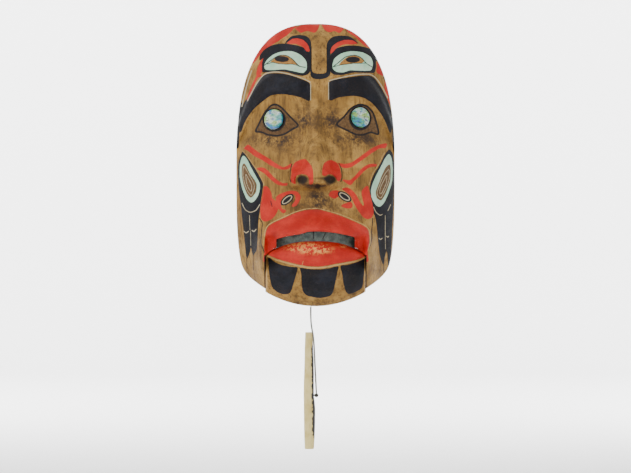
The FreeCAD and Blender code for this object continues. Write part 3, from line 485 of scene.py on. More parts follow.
FACE_PAINT = [
    # brows
    Patch(Layer.BLACK, [(-6, -60), (-6.2, -78.5), (-15.5, -75.5), (-24.8, -73.1), (-33.8, -71.6),
                        (-42.7, -71.6), (-48.7, -72.8), (-54, -76), (-58.8, -79.6), (-64.8, -84.4),
                        (-70.8, -91), (-75.5, -97.5), (-78.5, -103.5), (-82, -112), (-84.5, -100),
                        (-79, -80), (-71, -69), (-64, -58), (-58, -51), (-51.5, -48.3), (-42.5, -48.2),
                        (-30.8, -50), (-20, -53.5)]),
    Patch(Layer.BLACK, [(15, -58.1), (15, -78), (25.8, -74.9), (40.2, -73.2), (52.2, -74.9),
                        (61.8, -80.8), (71.4, -91.6), (77.4, -102.4), (82.2, -113.2), (85, -98),
                        (80, -78), (72, -63), (65.4, -53.8), (59.4, -50.2), (49.8, -50.8),
                        (35.4, -53.2)]),
    # eyes on the forehead
    Patch(Layer.BLACK, [(-5.4, -30), (-5.2, -44), (-8, -49.5), (-14, -51.4), (-23, -50), (-33, -46.8),
                        (-45, -46.4), (-55, -46.8), (-59, -45), (-59.2, -37), (-57.5, -31), (-61.5, -33),
                        (-61, -27), (-56, -20.5), (-49, -16.5), (-36.5, -14.6), (-24, -16.2),
                        (-13, -19.5), (-7, -25)]),
    Patch(Layer.BLACK, [(15.5, -34), (15.5, -44.5), (20, -50), (30, -50.4), (42, -47.6), (61.5, -47),
                        (65, -46), (66.5, -40), (66.4, -33.5), (69, -31.5), (68, -26), (61.5, -20),
                        (47.5, -17), (35, -17), (22.5, -20.5), (17, -27)]),
    # caps over the red bands, joined below the wooden bridge
    Patch(Layer.BLACK, [(-33.5, -15), (-31, -10.5), (-26.5, -6.6), (-18.5, -5), (-10, -6.6), (-5.5, -11.5),
                        (-4.2, -22), (-4, -44), (-1.5, -48), (4, -49), (10, -48.4), (12, -45),
                        (12, -19), (14, -12), (19.5, -7), (29, -5.6), (38.5, -7), (47.5, -14.5),
                        (37, -12), (26.5, -13), (18.5, -18), (16.5, -26.5), (16.5, -46.5), (14, -52.5),
                        (6.5, -55), (-1.5, -54.5), (-5.5, -50), (-6.5, -27.5), (-9, -18), (-14, -12.8),
                        (-21.5, -10.5), (-28, -12)]),
    # ears with their hanging feathers
    Patch(Layer.BLACK, [(-80.2, -133), (-75.1, -138.6), (-68.9, -147.5), (-63.3, -156), (-57.1, -168.3),
                        (-57.7, -176.2), (-59.7, -189.6), (-60.5, -197.5), (-62.2, -208.7),
                        (-63.3, -232.3), (-64.4, -241.3), (-66.1, -244.1), (-68.4, -247), (-69.7, -243.5),
                        (-70.9, -238), (-72, -243.5), (-74, -248), (-75.7, -251), (-77.1, -241.3),
                        (-79, -221.1), (-80.7, -205.4), (-82.1, -191.9), (-84, -178), (-85.2, -160),
                        (-84.6, -145)]),
    Patch(Layer.BLACK, [(80.9, -130.7), (75.9, -136.5), (69.4, -149.2), (63.8, -158.2), (60.4, -166.1),
                        (59, -173.9), (59.3, -182.9), (61.3, -191.9), (62.6, -198.6), (65.2, -205.4),
                        (66.9, -215.5), (68.6, -232.3), (70.5, -245.8), (72.5, -252.5), (75, -257.5),
                        (76.6, -248), (78.4, -240.5), (79.5, -251.4), (80.4, -260.3), (82.1, -254.7),
                        (83.6, -243.5), (84.4, -221.1), (85.6, -198.6), (86.6, -170.6), (86.8, -148.1),
                        (85.1, -135.8)]),
    # dark edges beside the brows
    Patch(Layer.BLACK, [(-79.5, -78), (-81.5, -92), (-83.5, -112), (-84.5, -128), (-88.5, -128),
                        (-88.5, -105), (-85, -84)]),
    Patch(Layer.BLACK, [(75, -50), (81, -70), (84, -95), (85, -128.5), (90, -134), (92, -82), (86, -56)]),
    # red bands, crown and edges
    Patch(Layer.RED, [(-31.2, -14.2), (-26.9, -10.4), (-20.9, -8.8), (-13.7, -11), (-8.6, -16.1),
                      (-6.4, -23.3), (-9.7, -23.8), (-13.7, -19), (-20.9, -15.6), (-28.1, -15.2)]),
    Patch(Layer.RED, [(16.2, -26), (17.6, -19.7), (23.4, -14), (31.8, -10.8), (40.2, -10.8), (46, -14.2),
                      (40.2, -15.6), (30.6, -16.1), (23.4, -19.7), (18.6, -25.2)]),
    Patch(Layer.RED, [(-22, 3.5), (-9, 8.5), (4, 9.5), (3, 2), (-1, -2.5), (-9, -0.5), (-16, -2.5),
                      (-20.5, 0.5)]),
    Patch(Layer.RED, [(6.5, 9.5), (18.5, 8), (31.5, 4), (26.5, -2.5), (21, -0.5), (15, -2), (10, 1)]),
    Patch(Layer.RED, [(-19.5, 8.5), (-25.5, 0.5), (-31, -5), (-43, -13), (-56.5, -21), (-61.5, -27.5),
                      (-69, -36), (-66, -15), (-48, 2), (-30, 8)]),
    Patch(Layer.RED, [(31.5, 6.5), (35.5, -1), (45, -8), (52.5, -15.5), (65, -22), (71.5, -29.5),
                      (79, -36), (72, -13), (55, 2), (39.5, 7.5)]),
    Patch(Layer.RED, [(-57, -30), (-58.6, -35.5), (-58.8, -42), (-58.6, -46.2), (-60.4, -48.3),
                      (-63.6, -49.5), (-65.1, -49), (-63.8, -41.5), (-61.2, -35)]),
    Patch(Layer.RED, [(67.5, -33), (71.5, -40), (75, -49.5), (70, -48), (66.8, -45.5), (67.4, -40)]),
    Patch(Layer.RED, [(-60.2, -50.2), (-63.8, -51.4), (-67.8, -58.7), (-71.3, -67.1), (-74.3, -75.4)], 1.3),
    Patch(Layer.RED, [(77, -53), (81.5, -69.5), (83, -82), (79.5, -76), (76, -63.5)]),
    # cheek stripes
    Patch(Layer.RED, [(-78.5, -129.6), (-74, -125.7), (-69.5, -128.5), (-61.6, -134.6), (-51.5, -140.8),
                      (-42.6, -147), (-34.7, -150.9), (-25.9, -147), (-28, -152), (-33.6, -153.7),
                      (-40.3, -152.6), (-48.2, -149.2), (-58.3, -143), (-67.2, -138), (-74, -132.4)]),
    Patch(Layer.RED, [(24.3, -146.4), (31, -147.5), (38.8, -145.9), (45.6, -141.4), (53.4, -135.8),
                      (61.3, -130.2), (70.3, -125.7), (77, -124), (78.7, -125.7), (76.4, -129.4),
                      (70.3, -129.8), (62.4, -134.6), (54.6, -140.3), (46.7, -145.9), (38.8, -150.9),
                      (32.1, -152), (27.6, -150.4)]),
    Patch(Layer.RED, [(-64.4, -152), (-59.4, -150.9), (-54.9, -152), (-50.4, -156), (-45.9, -161),
                      (-41.4, -165), (-35.8, -168.1), (-30.2, -168.3), (-31.3, -171.1), (-38.1, -170.8),
                      (-43.7, -168.3), (-49.3, -163.8), (-54.9, -158.2), (-60.5, -154.8)]),
    Patch(Layer.RED, [(28.7, -164.4), (33.2, -164.9), (37.7, -164.9), (42.2, -161), (47.8, -154.8),
                      (53.4, -149.8), (60.2, -147), (66.9, -147.5), (65.8, -149.8), (59.1, -150.9),
                      (53.4, -154.8), (47.8, -160.5), (42.2, -166.1), (37.7, -170.6), (31, -166.6)]),
    # nose wings
    Patch(Layer.RED, [(-26.8, -166.1), (-26.3, -158.2), (-25.7, -151.5), (-22.3, -145.9), (-16.7, -143.1),
                      (-11.1, -142.5), (-6.6, -147), (-3.3, -152.6), (-2.5, -158.2), (-2.5, -168.3),
                      (-6.1, -170), (-7.5, -163.3), (-10, -159.9), (-15.6, -158.8), (-20.1, -160.5),
                      (-21.6, -164.9), (-21.2, -169.4), (-24, -168.9)]),
    Patch(Layer.RED, [(7.4, -159.9), (7.4, -153.7), (9.1, -147.5), (13, -144.2), (17.5, -143.4),
                      (22.6, -145.9), (25.9, -150.4), (27.6, -157.1), (27.6, -162.7), (25.7, -166.6),
                      (23.4, -165.5), (21.4, -162.5), (18.1, -159.6), (14.2, -159.1), (10.8, -161)]),
    # cheek shapes and curls beside the mouth
    Patch(Layer.RED, [(-56.6, -172.8), (-53.8, -171.1), (-50.4, -173.9), (-47.6, -179.5), (-47, -184.6),
                      (-43.6, -187.4), (-40.9, -191.9), (-40.9, -197.5), (-43.7, -203.1), (-48.2, -207.6),
                      (-54.9, -210), (-59.2, -207), (-60.3, -198.6), (-59.4, -189.6), (-57.7, -180.7)]),
    Patch(Layer.RED, [(-43.1, -184), (-39.2, -180.4), (-33.6, -178.2), (-26.8, -176.5), (-20.1, -177.5),
                      (-16.5, -181.6), (-16.5, -185.7), (-20.1, -191.9), (-24, -194.1), (-25.7, -192.4),
                      (-22.5, -188), (-21.5, -184), (-23, -181), (-26, -180), (-31.3, -181), (-35.5, -184),
                      (-37.8, -188), (-37.5, -193), (-35.8, -196.2), (-31.9, -197.7), (-33.8, -201.1),
                      (-36.7, -200), (-39.7, -196.4), (-42, -190.8)]),
    Patch(Layer.RED, [(14.2, -180.7), (17.5, -176.7), (23.1, -176.2), (26.5, -177.9), (24.8, -182.9),
                      (20.9, -185.1), (17, -184)]),
    Patch(Layer.RED, [(28.7, -174.5), (34.4, -173), (40, -176.2), (44.5, -181.2), (48.4, -188.5),
                      (52.3, -193.5), (52.4, -190), (51, -185.1), (50.1, -177.3), (53.4, -172.8),
                      (56.8, -171.1), (58.5, -176.2), (60.4, -184), (62.6, -193), (63.3, -200.9),
                      (61.3, -205.6), (56.8, -207.4), (51.8, -205), (47.3, -199.2), (43.3, -193),
                      (40.2, -186.3), (37.2, -181.2), (31.6, -177.1)]),
    Patch(Layer.RED, [(27.6, -193), (32.1, -190.2), (38.3, -188.7), (40.5, -191.9), (38.8, -195.5),
                      (33.2, -195.5)]),
    # upper lip
    Patch(Layer.RED, LIP_TOP + [(56.5, -244), (56.5, -254), (30, -244), (-30, -244), (-55.4, -254),
                                (-55.6, -244)]),
    # pale green
    Patch(Layer.MINT, [(-56.2, -38.9), (-53.3, -32.9), (-46.1, -26.9), (-36.5, -23.8), (-25.7, -23.8),
                       (-16.1, -28.1), (-10.1, -35.3), (-9.7, -43.7), (-13.7, -48.1), (-22.1, -46.6),
                       (-34.1, -44), (-46.1, -44.4), (-54.5, -43.6)]),
    Patch(Layer.MINT, [(18.6, -38.9), (21, -31.7), (29.4, -25.7), (40.2, -23.3), (52.2, -24.5),
                       (60.6, -29.3), (63, -36.5), (60.6, -44), (49.8, -45), (37.8, -45), (30.6, -47.4),
                       (23.4, -47), (19.1, -43.7)]),
    Patch(Layer.MINT, [(-82.4, -144.2), (-79.4, -137.4), (-75.1, -141.4), (-70.6, -150.4), (-65, -160.5),
                       (-60.5, -169.4), (-61.4, -178.4), (-65.6, -186.3), (-70.6, -189.1),
                       (-75.7, -184.6), (-80.2, -173.9), (-83, -161.6), (-83.2, -151.5)]),
    Patch(Layer.MINT, [(80.4, -135.8), (83.5, -140.3), (84.8, -153.7), (83.7, -167.2), (79.3, -180.7),
                       (74.8, -189.6), (70.3, -193.6), (65.8, -191.9), (61.3, -184), (60.4, -176.2),
                       (62.4, -168.3), (66.9, -158.2), (72.5, -148.1), (76.4, -140.3)]),
    # wood left bare inside the pale green, and dark wood inside the eyes
    Patch(Layer.INSET, [(-49.3, -35.5), (-45.7, -31.6), (-40.9, -28.9), (-35.6, -28), (-30.2, -29.2),
                        (-24.8, -33.1), (-18.9, -39.1), (-24.8, -38.2), (-33.8, -37.9), (-40.9, -37.3),
                        (-45.7, -35.8)]),
    Patch(Layer.INSET, [(25.8, -38.9), (29.4, -34.1), (35.4, -29.8), (43.1, -28.1), (49.8, -30.5),
                        (53.4, -34.1), (49.8, -36.5), (40.2, -37.2), (31.8, -38.7)]),
    Patch(Layer.CORE, [(-79, -145.9), (-76.2, -148.1), (-71.7, -157.1), (-66.1, -165), (-63.9, -170.6),
                       (-65.3, -178.4), (-70.6, -183.8), (-75.1, -179.5), (-79, -169.4), (-80.9, -159.3),
                       (-80.9, -150.4)]),
    Patch(Layer.CORE, [(81.5, -147), (82.6, -153.7), (82.1, -164.9), (78.7, -175), (74.8, -182.9),
                       (71.4, -186.8), (66.9, -184), (65.8, -177.3), (68.6, -169.4), (72.5, -159.3),
                       (77, -150.4)]),
    Patch(Layer.CORE, ALMOND_LEFT),
    Patch(Layer.CORE, ALMOND_RIGHT),
    # pupils, eye rims and cut lines
    Patch(Layer.INK, ovoid((-36.8, -32.3), (7.9, 3.3), -4)),
    Patch(Layer.INK, ovoid((40.9, -32.9), (7.9, 3.4), 3)),
    Patch(Layer.INK, ovoid((-45.0, -99.4), (12.7, 12.8))),
    Patch(Layer.INK, ovoid((48.6, -97.4), (12.4, 13.3))),
    Patch(Layer.INK, ALMOND_LEFT, 1.0, True),
    Patch(Layer.INK, ALMOND_RIGHT, 1.0, True),
    Patch(Layer.INK, [(-56.4, -39.1), (-51.7, -35.5), (-45.7, -31.3), (-40.9, -28.7), (-35.6, -27.8),
                      (-30.2, -29), (-24.8, -33), (-18, -40.2), (-11, -42)], 0.5),
    Patch(Layer.INK, [(-53, -37.5), (-46.9, -35.8), (-40.9, -37.4), (-33.8, -38.1), (-24.8, -38.4),
                      (-17, -40.9)], 0.4),
    Patch(Layer.INK, [(19.2, -41.3), (25.8, -35.8), (33, -30), (42.6, -27.8), (49.8, -30.2),
                      (55.8, -36.5), (62.3, -40.4)], 0.5),
    Patch(Layer.INK, [(19.8, -41.3), (28.2, -38.9), (40.2, -37.3), (50, -36.6), (55, -36.3)], 0.4),
    Patch(Layer.INK, ovoid((-30.8, -186.2), (8.6, 4.4), 39)),
    Patch(Layer.INK, ovoid((31.6, -182.9), (8.6, 4.5), -33)),
    Patch(Layer.INK, MOUTH_LINE_LEFT, 0.55),
    Patch(Layer.INK, MOUTH_LINE_RIGHT, 0.55),
    Patch(Layer.INK, [(-75.7, -249), (-75.6, -261.5)], 0.45),
    Patch(Layer.INK, [(-68.5, -245), (-68.2, -262.6)], 0.45),
    Patch(Layer.INK, [(75, -256), (75.1, -265)], 0.4),
    Patch(Layer.INK, [(80.4, -258), (80.2, -265)], 0.35),
    Patch(Layer.INK, [(-25.6, -147.5), (-27.2, -155), (-27.7, -163), (-26.6, -167.5)], 0.5),
    Patch(Layer.INK, [(25.5, -147), (28.3, -154), (28.7, -162), (27.5, -167)], 0.5),
    Patch(Layer.INK, [(-48.7, -187.8), (-47.2, -193.5)], 0.5),
    # dark line under the nose: painted shadow
    Patch(Layer.INK, [(-9, -171.4), (-2, -171.9), (6, -171.9), (11, -171.4)], 0.5),
    # light lines
    Patch(Layer.LIGHT, [(-74.5, -77.5), (-71.9, -72.5), (-67.8, -64.7), (-63.6, -57.6), (-58.8, -51.4),
                        (-54, -47.9), (-45.7, -46.7), (-38.6, -47.3), (-30.8, -49), (-20, -52.2)], 0.5),
    Patch(Layer.LIGHT, [(-20, -52.2), (-11, -55.5), (-5.6, -58.5)], 0.5),
    Patch(Layer.LIGHT, [(15, -56.8), (35.4, -51.7), (49.8, -49.2), (59.4, -48.7), (65.4, -51.8),
                        (72, -60), (79.5, -74)], 0.5),
    Patch(Layer.LIGHT, [(-5.2, -60), (-5.2, -78)], 0.4),
    Patch(Layer.LIGHT, [(14.2, -58.5), (14.2, -77.5)], 0.4),
    Patch(Layer.LIGHT, [(-80.7, -189.6), (-77.3, -196.4), (-71.7, -199.7), (-65, -197.5),
                        (-60.8, -191.2)], 0.4),
    Patch(Layer.LIGHT, [(63.5, -194.1), (65.8, -199.2), (70.3, -202.9), (73.1, -202)], 0.4),
    Patch(Layer.LIGHT, [(82.5, -191), (80.9, -195), (79.3, -198)], 0.35),
    Patch(Layer.LIGHT, [(-78.5, -220.5), (-76.2, -222.2), (-73.4, -220.5)], 0.5),
    Patch(Layer.LIGHT, [(-69.5, -219.4), (-67.2, -220.8), (-65, -218.3)], 0.5),
    Patch(Layer.LIGHT, [(69.7, -228.2), (71.2, -229.5), (73.1, -228.2)], 0.45),
    Patch(Layer.LIGHT, [(78.1, -225.9), (79.5, -226.9), (80.6, -225.9)], 0.45),
    Patch(Layer.LIGHT, [(-72.3, -203), (-71.8, -219)], 0.3),
    Patch(Layer.LIGHT, [(-71.2, -220), (-71.1, -236)], 0.3),
    Patch(Layer.LIGHT, [(76.4, -203), (76.7, -226), (77, -240)], 0.3),
    Patch(Layer.LIGHT, [(-78.5, -149.2), (-73.4, -157.1), (-68.4, -166.1), (-66.7, -171.7),
                        (-68.4, -178.4), (-70.6, -181.2), (-74.5, -176.2), (-77.9, -167.2),
                        (-79.6, -158.2)], 0.32, True),
    Patch(Layer.LIGHT, [(-76.2, -158.2), (-72.9, -163.8), (-70.1, -169.4), (-69.5, -173.9),
                        (-70.6, -176.7), (-73.4, -172.8), (-75.7, -166.1)], 0.32, True),
    Patch(Layer.LIGHT, [(80.4, -152.6), (80.9, -162.7), (78.1, -171.7), (74.2, -179.5), (71.4, -184),
                        (68.2, -181.8), (67.5, -177.3), (70.3, -169.4), (74.2, -160.5)], 0.32, True),
    Patch(Layer.LIGHT, [(78.1, -159.3), (77.6, -167.2), (74.8, -173.9), (72, -179.5), (70, -177.9),
                        (71.4, -171.7), (74.8, -164.9)], 0.32, True),
    Patch(Layer.LIGHT, ovoid((-30.8, -186.2), (6.2, 2.5), 39), 0.5, True),
    Patch(Layer.LIGHT, ovoid((31.6, -182.9), (6.2, 2.6), -33), 0.5, True),
    Patch(Layer.LIGHT, [(-70.2, -43.8), (-74, -55), (-77.5, -68.3), (-80.9, -83.2)], 0.55),
    Patch(Layer.LIGHT, [(74.5, -40), (79.5, -57), (82.5, -76), (84.5, -95)], 0.4),
    Patch(Layer.LIGHT, [(78, -42), (83, -60), (86, -80)], 0.35),
    # dark lines along the jaw slot, painted shade of the gap; scraped wood round the upper lip
    Patch(Layer.INK, [(-55.3, -247), (-55.3, -294)], 0.5),
    Patch(Layer.INK, [(55.3, -247), (55.3, -294)], 0.5),
    Patch(Layer.BARE, [(-56.2, -236), (-55.6, -226), (-54.4, -219), (-51.3, -213.9), (-45.2, -210),
                       (-33.9, -204.9), (-22.6, -199.9), (-11.2, -196.6), (2, -195.7), (14.4, -198.6),
                       (25.8, -202), (37, -206.6), (46, -210.5), (54, -214.5), (58.4, -219),
                       (59.8, -227), (59.2, -234.5), (57, -242)], 0.45),
    Patch(Layer.BARE, [(-80.5, -131.8), (-75.4, -137.4), (-69.4, -146), (-63.8, -154.6), (-56.9, -167),
                       (-56.4, -171)], 0.35),
    Patch(Layer.BARE, [(58.2, -170), (60.2, -164), (63.2, -156.6), (69, -147.4), (75.2, -135)], 0.35),
]
FACE_SMUDGES = [
    Smudge(Layer.GRIME_AND_SHADE, (-44, -121), (28, 7), 1.6),
    Smudge(Layer.GRIME_AND_SHADE, (46, -121), (24, 7), 1.4),
    # painted shade on the sides of the nose bridge
    Smudge(Layer.GRIME_AND_SHADE, (-12, -99), (12, 13), 1.4),
    Smudge(Layer.GRIME_AND_SHADE, (17, -100), (12, 14), 1.4),
    Smudge(Layer.GRIME_AND_SHADE, (1.5, -186), (11, 11), 1.7),
    # painted shadow along the bottom of the nose
    Smudge(Layer.GRIME_AND_SHADE, (3, -170), (16, 4), 1.2),
    Smudge(Layer.GRIME_AND_SHADE, (-26, -133), (18, 8), 0.6),
    Smudge(Layer.GRIME_AND_SHADE, (24, -130), (16, 9), 0.55),
    Smudge(Layer.GRIME_AND_SHADE, (-47, -106), (17, 9), 1.2),
    Smudge(Layer.GRIME_AND_SHADE, (47, -106), (19, 9), 1.2),
    Smudge(Layer.GRIME_AND_SHADE, (-16, -193), (10, 6), 0.6),
    Smudge(Layer.GRIME_AND_SHADE, (22, -193), (16, 7), 0.8),
    Smudge(Layer.GRIME_AND_SHADE, (46, -203), (14, 5), 0.6),
    Smudge(Layer.GRIME_AND_SHADE, (-64, -236), (6, 14), 0.35),
    Smudge(Layer.GRIME_AND_SHADE, (70, -262), (14, 10), 0.5),
    Smudge(Layer.GRIME_AND_SHADE, (4, -30), (6, 20), 0.4),
    # painted shade in the nostrils and painted shadow under the nose tip
    Smudge(Layer.SHADE_AND_WEAR, (-14.5, -165), (7.6, 6.0), 1.15),
    Smudge(Layer.SHADE_AND_WEAR, (16.4, -164.8), (7.6, 6.0), 1.15),
    Smudge(Layer.SHADE_AND_WEAR, (2.4, -171.9), (2.6, 2.2), 1.2),
    Smudge(Layer.SHADE_AND_WEAR, (3, -163.5), (9, 2.2), 0.55),
    # painted shade in the mouth corners and a painted shadow under the upper lip
    Smudge(Layer.SHADE_AND_WEAR, (-44, -226), (9, 7), 0.42),
    Smudge(Layer.SHADE_AND_WEAR, (44, -227), (9, 7), 0.42),
    Smudge(Layer.SHADE_AND_WEAR, (0, -221), (40, 4), 0.4),
    # a darker band down the philtrum
    Smudge(Layer.SHADE_AND_WEAR, (1, -183), (6, 11), 0.5),
]
JAW_PAINT = [
    Patch(Layer.RED, [(-55.5, -243), (-47, -233), (-40.3, -227), (-29.1, -222), (-15.6, -220), (2, -218),
                      (16, -220), (30, -222), (42.2, -227), (50.1, -233), (57.5, -243), (56.2, -246.4),
                      (47.8, -250.8), (38.8, -252.9), (27.6, -254.7), (16.4, -256.8), (4.6, -258.6),
                      (-8.9, -258.2), (-22.3, -255.6), (-33.6, -252.8), (-42.6, -250), (-52, -245.8)]),
    Patch(Layer.BLACK, [(-51.5, -249.4), (-44.8, -253.6), (-36.9, -257), (-26.8, -259), (-19.5, -259.8),
                        (-20.1, -264.8), (-23.5, -276.1), (-26.3, -285), (-29.1, -288.4), (-35.8, -289),
                        (-42.6, -286.2), (-47.6, -280.6), (-50, -269.3)]),
    Patch(Layer.BLACK, [(-16.7, -260), (-8.9, -261.2), (4.6, -261.8), (14, -260.6), (24.8, -258.4),
                        (23.7, -264.8), (21.4, -277.2), (19.2, -286.2), (15.3, -291.2), (5.2, -293.2),
                        (-2.1, -292.3), (-8.9, -290.7), (-13.4, -286.2), (-15.1, -277.2),
                        (-15.6, -266)]),
    Patch(Layer.BLACK, [(27.1, -258), (34.4, -257), (44.5, -254.2), (51.5, -251.4), (54.6, -250),
                        (54.2, -257), (52.6, -269.3), (50.8, -281.7), (44.5, -286.2), (36.6, -289),
                        (33.2, -286.2), (30.4, -277.2), (28.7, -266)]),
    Patch(Layer.BARE, [(-54.6, -246), (-45, -250.8), (-33.6, -254.2), (-22.3, -257), (-8.9, -259.6),
                       (4.6, -260), (16.4, -258.4), (27.6, -256.2), (38.8, -254.2), (47.8, -252),
                       (56, -248)], 0.8),
    # dark lines down both sides: painted shade of the gap to the shell
    Patch(Layer.INK, [(-54.9, -247), (-54.9, -294)], 0.5),
    Patch(Layer.INK, [(54.9, -247), (54.9, -294)], 0.5),
    Patch(Layer.BARE, [(-53.2, -249), (-53.2, -287)], 0.7),
    Patch(Layer.BARE, [(53.7, -251), (53.7, -287)], 0.4),
    Patch(Layer.BARE, [(-13.2, -252.6), (-14.2, -256), (-15, -259)], 0.25),
]
JAW_SMUDGES = [
    # negative amounts: lighter spots where the lower lip's paint is rubbed through
    Smudge(Layer.SHADE_AND_WEAR, (-17, -237.5), (15, 6), -0.95),
    Smudge(Layer.SHADE_AND_WEAR, (3, -240), (15, 5), -1.0),
    Smudge(Layer.SHADE_AND_WEAR, (30.5, -236), (4, 2.5), -0.7),
    Smudge(Layer.GRIME_AND_SHADE, (0, -300), (60, 4), 0.4),
]
STRIP_PAINT = [
    Patch(Layer.INK, [(-2.2, -218.8), (-2.0, -228.2)], 0.65),
    Patch(Layer.INK, [(10.8, -222.5), (9.4, -225.4), (8.0, -228.6)], 0.55),
    # short dark line where the strip's top steps down: painted shade
    Patch(Layer.INK, [(-12.4, -217), (-12.4, -223.6)], 0.3),
]


# ------------------------------------------------------------------- materials
def tint(red: int, green: int, blue: int) -> Tuple[float, float, float, float]:
    """Display colour as a linear one.

    Args:
        red: 0 to 255.
        green: 0 to 255.
        blue: 0 to 255.

    Returns:
        Linear red, green, blue and alpha.
    """
    linear = []
    for value in (red, green, blue):
        share = value / 255.0
        linear.append(share / 12.92 if share < 0.04045 else ((share + 0.055) / 1.055) ** 2.4)
    return (linear[0], linear[1], linear[2], 1.0)


class Tree:
    """Short way to add and join shader nodes."""

    def __init__(self, tree: bpy.types.NodeTree) -> None:
        """Wraps a node tree.

        Args:
            tree: the tree that nodes are added to.
        """
        self.tree = tree

    def add(self, kind: str, inputs: Optional[Dict] = None, **settings) -> bpy.types.Node:
        """Adds a node.

        Args:
            kind: the node's type name.
            inputs: values or sockets for its inputs, by name or number.
            **settings: properties of the node.

        Returns:
            The node.
        """
        node = self.tree.nodes.new(kind)
        for name, value in settings.items():
            setattr(node, name, value)
        for key, value in (inputs or {}).items():
            socket = node.inputs[key]
            if isinstance(value, bpy.types.NodeSocket):
                self.tree.links.new(value, socket)
            else:
                socket.default_value = value
        return node

    def mix(self, share, first, second, blend: str = "MIX") -> bpy.types.NodeSocket:
        """Mixes two colours.

        Args:
            share: how much of the second.
            first: first colour or socket.
            second: second colour or socket.
            blend: how they're combined.

        Returns:
            The colour socket.
        """
        node = self.add("ShaderNodeMix", {0: share, 6: first, 7: second},
                        data_type="RGBA", blend_type=blend)
        return node.outputs[2]

    def maths(self, operation: str, first, second=0.0, clamp: bool = False) -> bpy.types.NodeSocket:
        """One calculation.

        Args:
            operation: its name.
            first: first value or socket.
            second: second value or socket.
            clamp: whether the result stays between 0 and 1.

        Returns:
            The value socket.
        """
        node = self.add("ShaderNodeMath", {0: first, 1: second}, operation=operation,
                        use_clamp=clamp)
        return node.outputs[0]

    def ease(self, value, low: float, high: float, first: float = 0.0,
             last: float = 1.0) -> bpy.types.NodeSocket:
        """Smooth step between two values.

        Args:
            value: value or socket.
            low: value that gives first.
            high: value that gives last.
            first: result at low.
            last: result at high.

        Returns:
            The value socket.
        """
        node = self.add("ShaderNodeMapRange", {0: value, 1: low, 2: high, 3: first, 4: last},
                        interpolation_type="SMOOTHSTEP")
        return node.outputs[0]

    def noise(self, vector, scale: float, detail: float = 3.0,
              rough: float = 0.55) -> bpy.types.NodeSocket:
        """Noise value.

        Args:
            vector: coordinates.
            scale: cells per metre.
            detail: number of finer layers.
            rough: strength of the finer layers.

        Returns:
            The value socket.
        """
        node = self.add("ShaderNodeTexNoise", {"Vector": vector, "Scale": scale,
                                               "Detail": detail, "Roughness": rough})
        return node.outputs[0]


def new_group(name: str, inputs: Sequence[Tuple[str, str, object]],
              outputs: Sequence[Tuple[str, str]]) -> Tuple[bpy.types.NodeTree, Tree]:
    """Makes a node group with its sockets.

    Args:
        name: the group's name.
        inputs: name, socket type and default of each input.
        outputs: name and socket type of each output.

    Returns:
        The group and its wrapper.
    """
    group = bpy.data.node_groups.new(name, "ShaderNodeTree")
    for label, kind, default in inputs:
        socket = group.interface.new_socket(name=label, in_out="INPUT", socket_type=kind)
        if default is not None:
            socket.default_value = default
    for label, kind in outputs:
        group.interface.new_socket(name=label, in_out="OUTPUT", socket_type=kind)
    return group, Tree(group)


def paint_edge_group() -> bpy.types.NodeTree:
    """Group that turns a distance to a painted edge into a worn paint mask."""
    group, tree = new_group(
        "paint edge",
        [("Vector", "NodeSocketVector", None), ("Distance", "NodeSocketFloat", 9.0),
         ("Wobble", "NodeSocketFloat", 0.8), ("Wear", "NodeSocketFloat", 0.3)],
        [("Mask", "NodeSocketFloat")])
    source = tree.add("NodeGroupInput")
    shake = tree.noise(source.outputs["Vector"], 420.0, 3.0)
    centred = tree.maths("SUBTRACT", shake, 0.5)
    moved = tree.maths("MULTIPLY_ADD", centred, source.outputs["Wobble"])
    tree.tree.links.new(source.outputs["Distance"], moved.node.inputs[2])
    mask = tree.ease(moved, -0.28, 0.28, 1.0, 0.0)
    worn = tree.noise(source.outputs["Vector"], 900.0, 6.0, 0.7)
    broad = tree.noise(source.outputs["Vector"], 60.0, 3.0)
    rubbed = tree.maths("MULTIPLY", tree.ease(worn, 0.56, 0.72), tree.ease(broad, 0.42, 0.62))
    lost = tree.maths("MULTIPLY", rubbed, source.outputs["Wear"])
    kept = tree.maths("MULTIPLY", mask, tree.maths("SUBTRACT", 1.0, lost, True))
    tree.add("NodeGroupOutput", {"Mask": kept})
    return group


def wood_group() -> bpy.types.NodeTree:
    """Group with the colour and relief of carved, oiled wood."""
    group, tree = new_group(
        "carved wood",
        [("Vector", "NodeSocketVector", None), ("Dark", "NodeSocketColor", tint(66, 46, 22)),
         ("Middle", "NodeSocketColor", tint(150, 112, 54)),
         ("Light", "NodeSocketColor", tint(188, 146, 78))],
        [("Color", "NodeSocketColor"), ("Height", "NodeSocketFloat")])
    source = tree.add("NodeGroupInput")
    stretched = tree.add("ShaderNodeMapping", {"Vector": source.outputs["Vector"],
                                               "Scale": (1.0, 1.0, 0.09)}).outputs[0]
    fibre = tree.noise(stretched, 430.0, 6.0, 0.7)
    band = tree.noise(stretched, 130.0, 4.0, 0.6)
    cloud = tree.noise(source.outputs["Vector"], 38.0, 4.0, 0.6)
    speck = tree.noise(source.outputs["Vector"], 240.0, 6.0, 0.75)
    tone = tree.maths("ADD", tree.maths("MULTIPLY", band, 0.75),
                      tree.maths("MULTIPLY", cloud, 0.25))
    colour = tree.mix(tree.ease(tone, 0.26, 0.55), source.outputs["Dark"],
                      source.outputs["Middle"])
    colour = tree.mix(tree.ease(cloud, 0.45, 0.7, 0.0, 0.8), colour, source.outputs["Light"])
    colour = tree.mix(tree.ease(fibre, 0.5, 0.68, 0.0, 0.75), colour, source.outputs["Dark"])
    colour = tree.mix(tree.ease(speck, 0.53, 0.72, 0.0, 0.7), colour, source.outputs["Dark"])
    height = tree.maths("ADD", tree.maths("MULTIPLY", fibre, 0.5),
                        tree.maths("MULTIPLY", speck, 0.5))
    tree.add("NodeGroupOutput", {"Color": colour, "Height": height})
    return group


